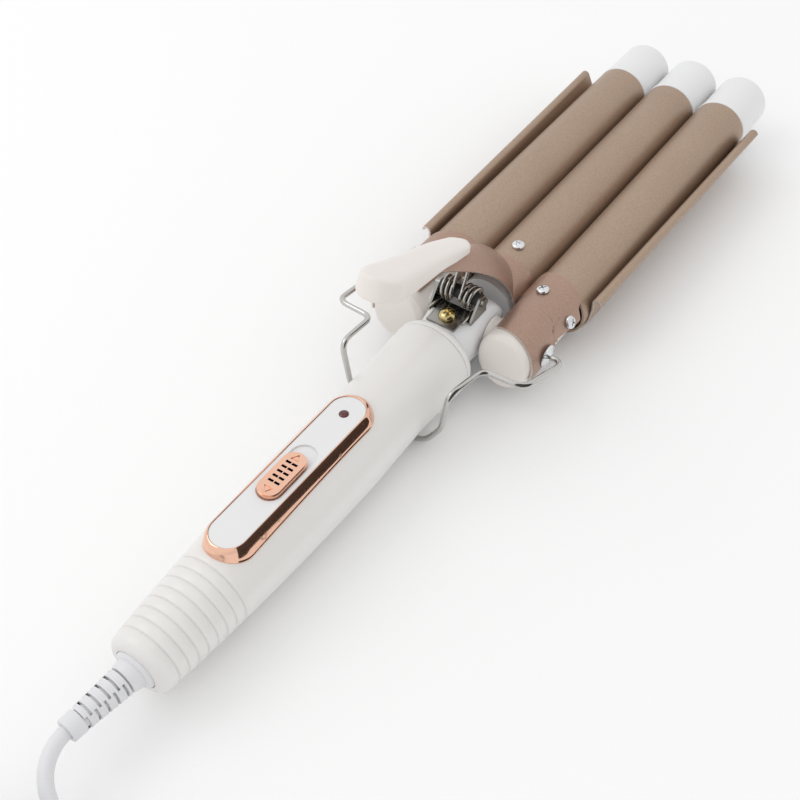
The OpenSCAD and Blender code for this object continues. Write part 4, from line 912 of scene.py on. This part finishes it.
def crossHead(name, h, matrix, shank, dome=None):
    r = h["radius"]
    tall = dome or h["dome"]
    arc = [(h["rim"] + tall * sin(radians(a)), r * cos(radians(a))) for a in range(0, 91, 12)]
    arc[-1] = (arc[-1][0], 0)
    stem = [(-shank, 0), (-shank, 1.3), (-0.02, 1.3), (0.04, r - 0.1), (0.16, r)]
    head = turned(name, stem + arc, Matrix.Identity(4), 40, 40)
    for turn in (45, 135):
        bpy.ops.mesh.primitive_cube_add(size=1, location=(0, 0, (h["rim"] + tall) * mm))
        blade = bpy.context.object
        blade.scale = (h["cross"] * mm, h["slot"] * mm, 2 * h["deep"] * mm)
        blade.rotation_euler = (0, 0, radians(turn))
        bpy.ops.object.transform_apply(location=True, rotation=True, scale=True)
        cut = head.modifiers.new("cut", "BOOLEAN")
        cut.operation = "DIFFERENCE"
        cut.object = blade
        only(head)
        bpy.ops.object.modifier_apply(modifier="cut")
        bpy.data.objects.remove(blade)
    head.matrix_world = matrix
    only(head)
    bpy.ops.object.transform_apply(location=True, rotation=True, scale=True)
    tidy(head, 35, 0.000005)
    return head


def onSleeve(x, a, side):
    # how far the sleeve rises towards the barrels here, over 4 mm, along its own outward way
    ahead, behind = sleevePoint(x + 2, a, 0), sleevePoint(x - 2, a, 0)
    outward = (0, -sin(radians(a)), cos(radians(a)))
    dip = -asin(max(-1, min(1, sum((p - q) * n for p, q, n in zip(ahead, behind, outward)) / 4)))
    px, py, pz = sleevePoint(x, a, bridge["sheet"] + 0.1)
    flip = Matrix.Rotation(radians(a * side), 4, "X") @ Matrix.Rotation(dip, 4, "Y")
    return Matrix.Translation(place(px, side * py, pz)) @ flip


def buildScrews(h):
    heads = [crossHead("head", h, onSleeve(x, a, side), 4) for side in (1, -1) for x, a in ((21, 12), (17.6, -62))]
    middle = Matrix.Translation(place(39.8, 0, 12.5)) @ Matrix.Rotation(0.5, 4, "Z")
    heads.append(crossHead("head", h, middle, 3))
    finished(joined("sheet_screws", heads), "brightSteel", "jaw", "steel", "bridge_screws")
    dome = crossHead("saddle_dome", {**h, "radius": 3.7, "rim": 0.4, "cross": 4.2, "slot": 0.8, "deep": 0.9},
        Matrix.Translation(place(-12.6, 0, 14.15)) @ Matrix.Rotation(0.4, 4, "Z"), 5, 2.3)
    finished(dome, "brass", "handle", "brass", "saddle_screw")


buildScrews(screwHead)
print("trim, lens and screws")

# closing spring: two coils side by side, legs on the saddle and arms up to the tongue
spring = {"wire": 1.4, "mean": 8.6, "turns": 3, "pitch": 1.9, "inside": 2.0, "x": -3.5, "z": 19.6,
    "leg": 11.0, "touch": 0.56}


def buildSpring(s):
    r = s["mean"] / 2
    out = s["inside"] + s["turns"] * s["pitch"]
    top = tonguePoint(s["touch"], 0, -(1 + s["wire"] / 2 + 0.3))
    half = [(s["x"] - s["leg"] + i * s["leg"] / 6, out, s["z"] - r) for i in range(6)]
    steps = 28 * s["turns"]
    sweep = 360 * s["turns"] - 90
    for i in range(steps + 1):
        f = i / steps
        a = radians(-90 + f * sweep)
        half.append((s["x"] + r * cos(a), mix(out, s["inside"], f), s["z"] + r * sin(a)))
    half += [(mix(s["x"] - r, top.x, i / 8), s["inside"], mix(s["z"], top.z, i / 8)) for i in range(1, 9)]
    path = half + [(x, -y, z) for x, y, z in reversed(half)]
    wire = newCurve("spring_coil", path, s["wire"] / 2, 3)
    only(wire)
    bpy.ops.object.convert(target="MESH")
    wire = bpy.context.object
    tidy(wire, 60)
    finished(wire, "springSteel", "handle", "steel", "closing_spring")
    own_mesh(wire)


buildSpring(spring)

# stand: one bent wire through the plugs, with a star washer on each side
stand = {"wire": 2.3, "half": 44.5, "back": 48.5, "gap": 0.35, "washer": 4.9, "points": 10}


def roundedPath(corners):
    out = [Vector(corners[0][0])]
    for (a, _), (b, bend), (c, _) in zip(corners, corners[1:], corners[2:]):
        a, b, c = Vector(a), Vector(b), Vector(c)
        u, w = (a - b).normalized(), (c - b).normalized()
        half = u.angle(w) / 2
        d = min(bend * cos(half) / sin(half), 0.46 * (a - b).length, 0.46 * (c - b).length)
        out += [Vector(bezier(b + d * u, b, b + d * w, i / 9)) for i in range(10)]
    return out + [Vector(corners[-1][0])]


def buildStand(s):
    foot = handleRadius(s["back"]) + s["gap"] + s["wire"] / 2
    # each corner with the radius of its bend, on one side; the other side mirrors it
    corners = [((0, plugs["y"] + 5, hub["hingeZ"]), 0), ((0, s["half"] + 0.6, 3.3), 5),
        ((-26.6, s["half"] - 2.2, 11.3), 6), ((-27.6, 25.6, 11.7), 5), ((-s["back"], 24.2, 15.7), 5),
        ((-s["back"], 21, -4.4), 12), ((-s["back"], 13, -foot), 13)]
    corners += [((x, -y, z), bend) for (x, y, z), bend in reversed(corners)]
    wire = newCurve("stand_rod", [tuple(p) for p in roundedPath(corners)], s["wire"] / 2, 4)
    only(wire)
    bpy.ops.object.convert(target="MESH")
    wire = bpy.context.object
    tidy(wire, 60)
    finished(wire, "steel", "stand", "steel", "stand_wire")
    stars = []
    for side in (1, -1):
        y = plugs["y"] + plugs["radius"] + bridge["sheet"] + 0.25
        r = s["washer"]
        shape = softened([(0.35, 1.35), (0.05, r - 0.6), (0.1, r), (0.55, r - 0.1), (0.95, r * 0.72),
            (1.3, r * 0.45), (1.75, 1.4), (1.5, 1.3), (0.35, 1.35)], 0.12)
        star = turned("star", shape, Matrix.Identity(4), 60, 40)
        for v in star.data.vertices:
            a = atan2(v.co.y, v.co.x)
            reach = Vector((v.co.x, v.co.y)).length / mm
            notch = max(0.0, cos(a * s["points"])) ** 6
            v.co.z -= 0.35 * mm * notch * ease(1.8, r, reach) if v.co.z > 0.0003 else 0
        upright = Matrix.Rotation(-side * pi / 2, 4, "X")
        star.matrix_world = Matrix.Translation(place(0, side * y, hub["hingeZ"])) @ upright
        only(star)
        bpy.ops.object.transform_apply(location=True, rotation=True, scale=True)
        stars.append(star)
    finished(joined("star_washers", stars), "brightSteel", "stand", "steel", "stand_washers")


buildStand(stand)
print("spring and stand")

# strain relief: staggered ribs with windows between them, and a plain ferrule
relief = {"root": 10.8, "tip": 8.8, "ribs": 9, "core": 3.5, "first": 8.2, "pitch": 1.82, "rib": 0.95,
    "ferrule": 5.2}


def buildRelief(f):
    root, back = Matrix.Translation(place(*reliefRoot)), Matrix.Rotation(-pi / 2, 4, "Y")
    way = root @ Matrix.Rotation(-lean, 4, "Z") @ back
    swivel = root @ back
    base = softened([(-2.8, 0), (-2.8, 8.9), (-1.6, 8.9), (-1.6, 7.9), (2.3, 7.9), (3.1, 7.5), (3.8, 6.6),
        (3.8, 0)], 0.4)
    parts = [turned("swivel", base, swivel)]
    neck = softened([(2, 0), (2, 6.1), (4.6, 5.9), (7.6, f["root"] / 2 - 0.1), (7.6, 3)], 0.6)
    parts.append(turned("neck", neck, way))
    core = [(7, 0), (7, f["core"]), (reliefEnd - 4, f["core"] - 0.2), (reliefEnd - 4, 0)]
    parts.append(turned("core", core, way, 40))
    for i in range(f["ribs"]):
        x = f["first"] + i * f["pitch"]
        r = mix(f["root"], f["tip"], (i + 1) / (f["ribs"] + 1)) / 2
        rib = softened([(x, 3.2), (x, r), (x + f["rib"], r - 0.05), (x + f["rib"], 3.2), (x, 3.2)], 0.25)
        parts.append(turned("rib", rib, way, 48))
        shift = pi / 2 * (i % 2)
        for turn in (0, pi):
            arc = [(turn + shift - 0.72 + 1.44 * k / 8) for k in range(9)]
            deselect()
            bpy.ops.mesh.primitive_grid_add(x_subdivisions=8, y_subdivisions=3, size=2)
            web = bpy.context.object
            for v in web.data.vertices:
                a = arc[round((v.co.x + 1) * 4)]
                k = round((v.co.y + 1) * 1.5)
                distance, reach = ((x + f["rib"] - 0.1, 3.2), (x + f["rib"] - 0.1, r - 0.16),
                    (x + f["pitch"] + 0.1, r - 0.2), (x + f["pitch"] + 0.1, 3.2))[k]
                v.co = way @ Vector((reach * cos(a) * mm, reach * sin(a) * mm, distance * mm))
            tidy(web, 40)
            parts.append(web)
    e, r = reliefEnd, f["tip"] / 2
    ferrule = softened([(e - f["ferrule"] - 0.2, 3), (e - f["ferrule"] - 0.2, r), (e - 0.05, r - 0.1),
        (e - 0.05, 2.65), (e - 3, 2.65)], 0.5)
    parts.append(turned("ferrule", ferrule, way, 56))
    finished(joined("relief_sleeve", parts), "cordWhite", "handle", "cord_white", "strain_relief")


buildRelief(relief)
print("strain relief")

# floor, world and lamp
stage = {"floor": (0.95, 0.95, 0.95), "world": 0.94, "lamp": (-0.35, 0.75, 0.95), "size": 0.7, "power": 1.9}


def addStage(s):
    deselect()
    bpy.ops.mesh.primitive_plane_add(size=6, location=(0, 0, 0))
    floorPlane = bpy.context.object
    floorPlane.name = "floor"
    m = bpy.data.materials.new("paleFloor")
    m.use_nodes = True
    shader = m.node_tree.nodes["Principled BSDF"]
    shader.inputs["Base Color"].default_value = (*s["floor"], 1)
    shader.inputs["Roughness"].default_value = 0.95
    shader.inputs["Specular IOR Level"].default_value = 0.0
    floorPlane.data.materials.append(m)
    world = bpy.data.worlds.new("studio")
    bpy.context.scene.world = world
    world.use_nodes = True
    nodes, links = world.node_tree.nodes, world.node_tree.links
    where = nodes.new("ShaderNodeTexCoord")
    facing = nodes.new("ShaderNodeVectorMath")
    facing.operation = "DOT_PRODUCT"
    links.new(where.outputs["Generated"], facing.inputs[0])
    facing.inputs[1].default_value = Vector((-0.25, 0.42, 0.87)).normalized()
    reach = nodes.new("ShaderNodeMapRange")
    reach.interpolation_type = "SMOOTHSTEP"
    for label, value in (("From Min", -0.15), ("From Max", 0.75), ("To Min", 0.88), ("To Max", 1.03)):
        reach.inputs[label].default_value = value
    links.new(facing.outputs["Value"], reach.inputs["Value"])
    ray = nodes.new("ShaderNodeLightPath")
    seen = nodes.new("ShaderNodeMix")
    links.new(ray.outputs["Is Camera Ray"], seen.inputs["Factor"])
    links.new(maths(nodes, links, "MULTIPLY", reach.outputs["Result"], s["world"]), seen.inputs["A"])
    seen.inputs["B"].default_value = 1.0
    links.new(seen.outputs["Result"], nodes["Background"].inputs["Strength"])
    nodes["Background"].inputs["Color"].default_value = (1, 1, 1, 1)
    bpy.ops.object.light_add(type="AREA", location=s["lamp"])
    lamp = bpy.context.object
    lamp.data.size = s["size"]
    lamp.data.energy = s["power"]
    lamp.rotation_euler = (-lamp.location).to_track_quat("-Z", "Y").to_euler()


addStage(stage)
card = {"place": (-0.095, -0.072, 0.095), "size": (0.17, 0.19), "colour": (0.05, 0.04, 0.035)}


def addCard(c):
    deselect()
    bpy.ops.mesh.primitive_plane_add(size=1, location=c["place"], rotation=(radians(90), 0, 0))
    board = bpy.context.object
    board.name = "shade_card"
    board.scale = (*c["size"], 1)
    m = bpy.data.materials.new("darkCard")
    m.use_nodes = True
    m.node_tree.nodes["Principled BSDF"].inputs["Base Color"].default_value = (*c["colour"], 1)
    m.node_tree.nodes["Principled BSDF"].inputs["Roughness"].default_value = 0.9
    board.data.materials.append(m)
    board.visible_camera = board.visible_diffuse = board.visible_shadow = False
    board.visible_transmission = False


addCard(card)
bpy.context.scene.view_settings.view_transform = "Standard"
bpy.context.view_layer.update()
print("stage")
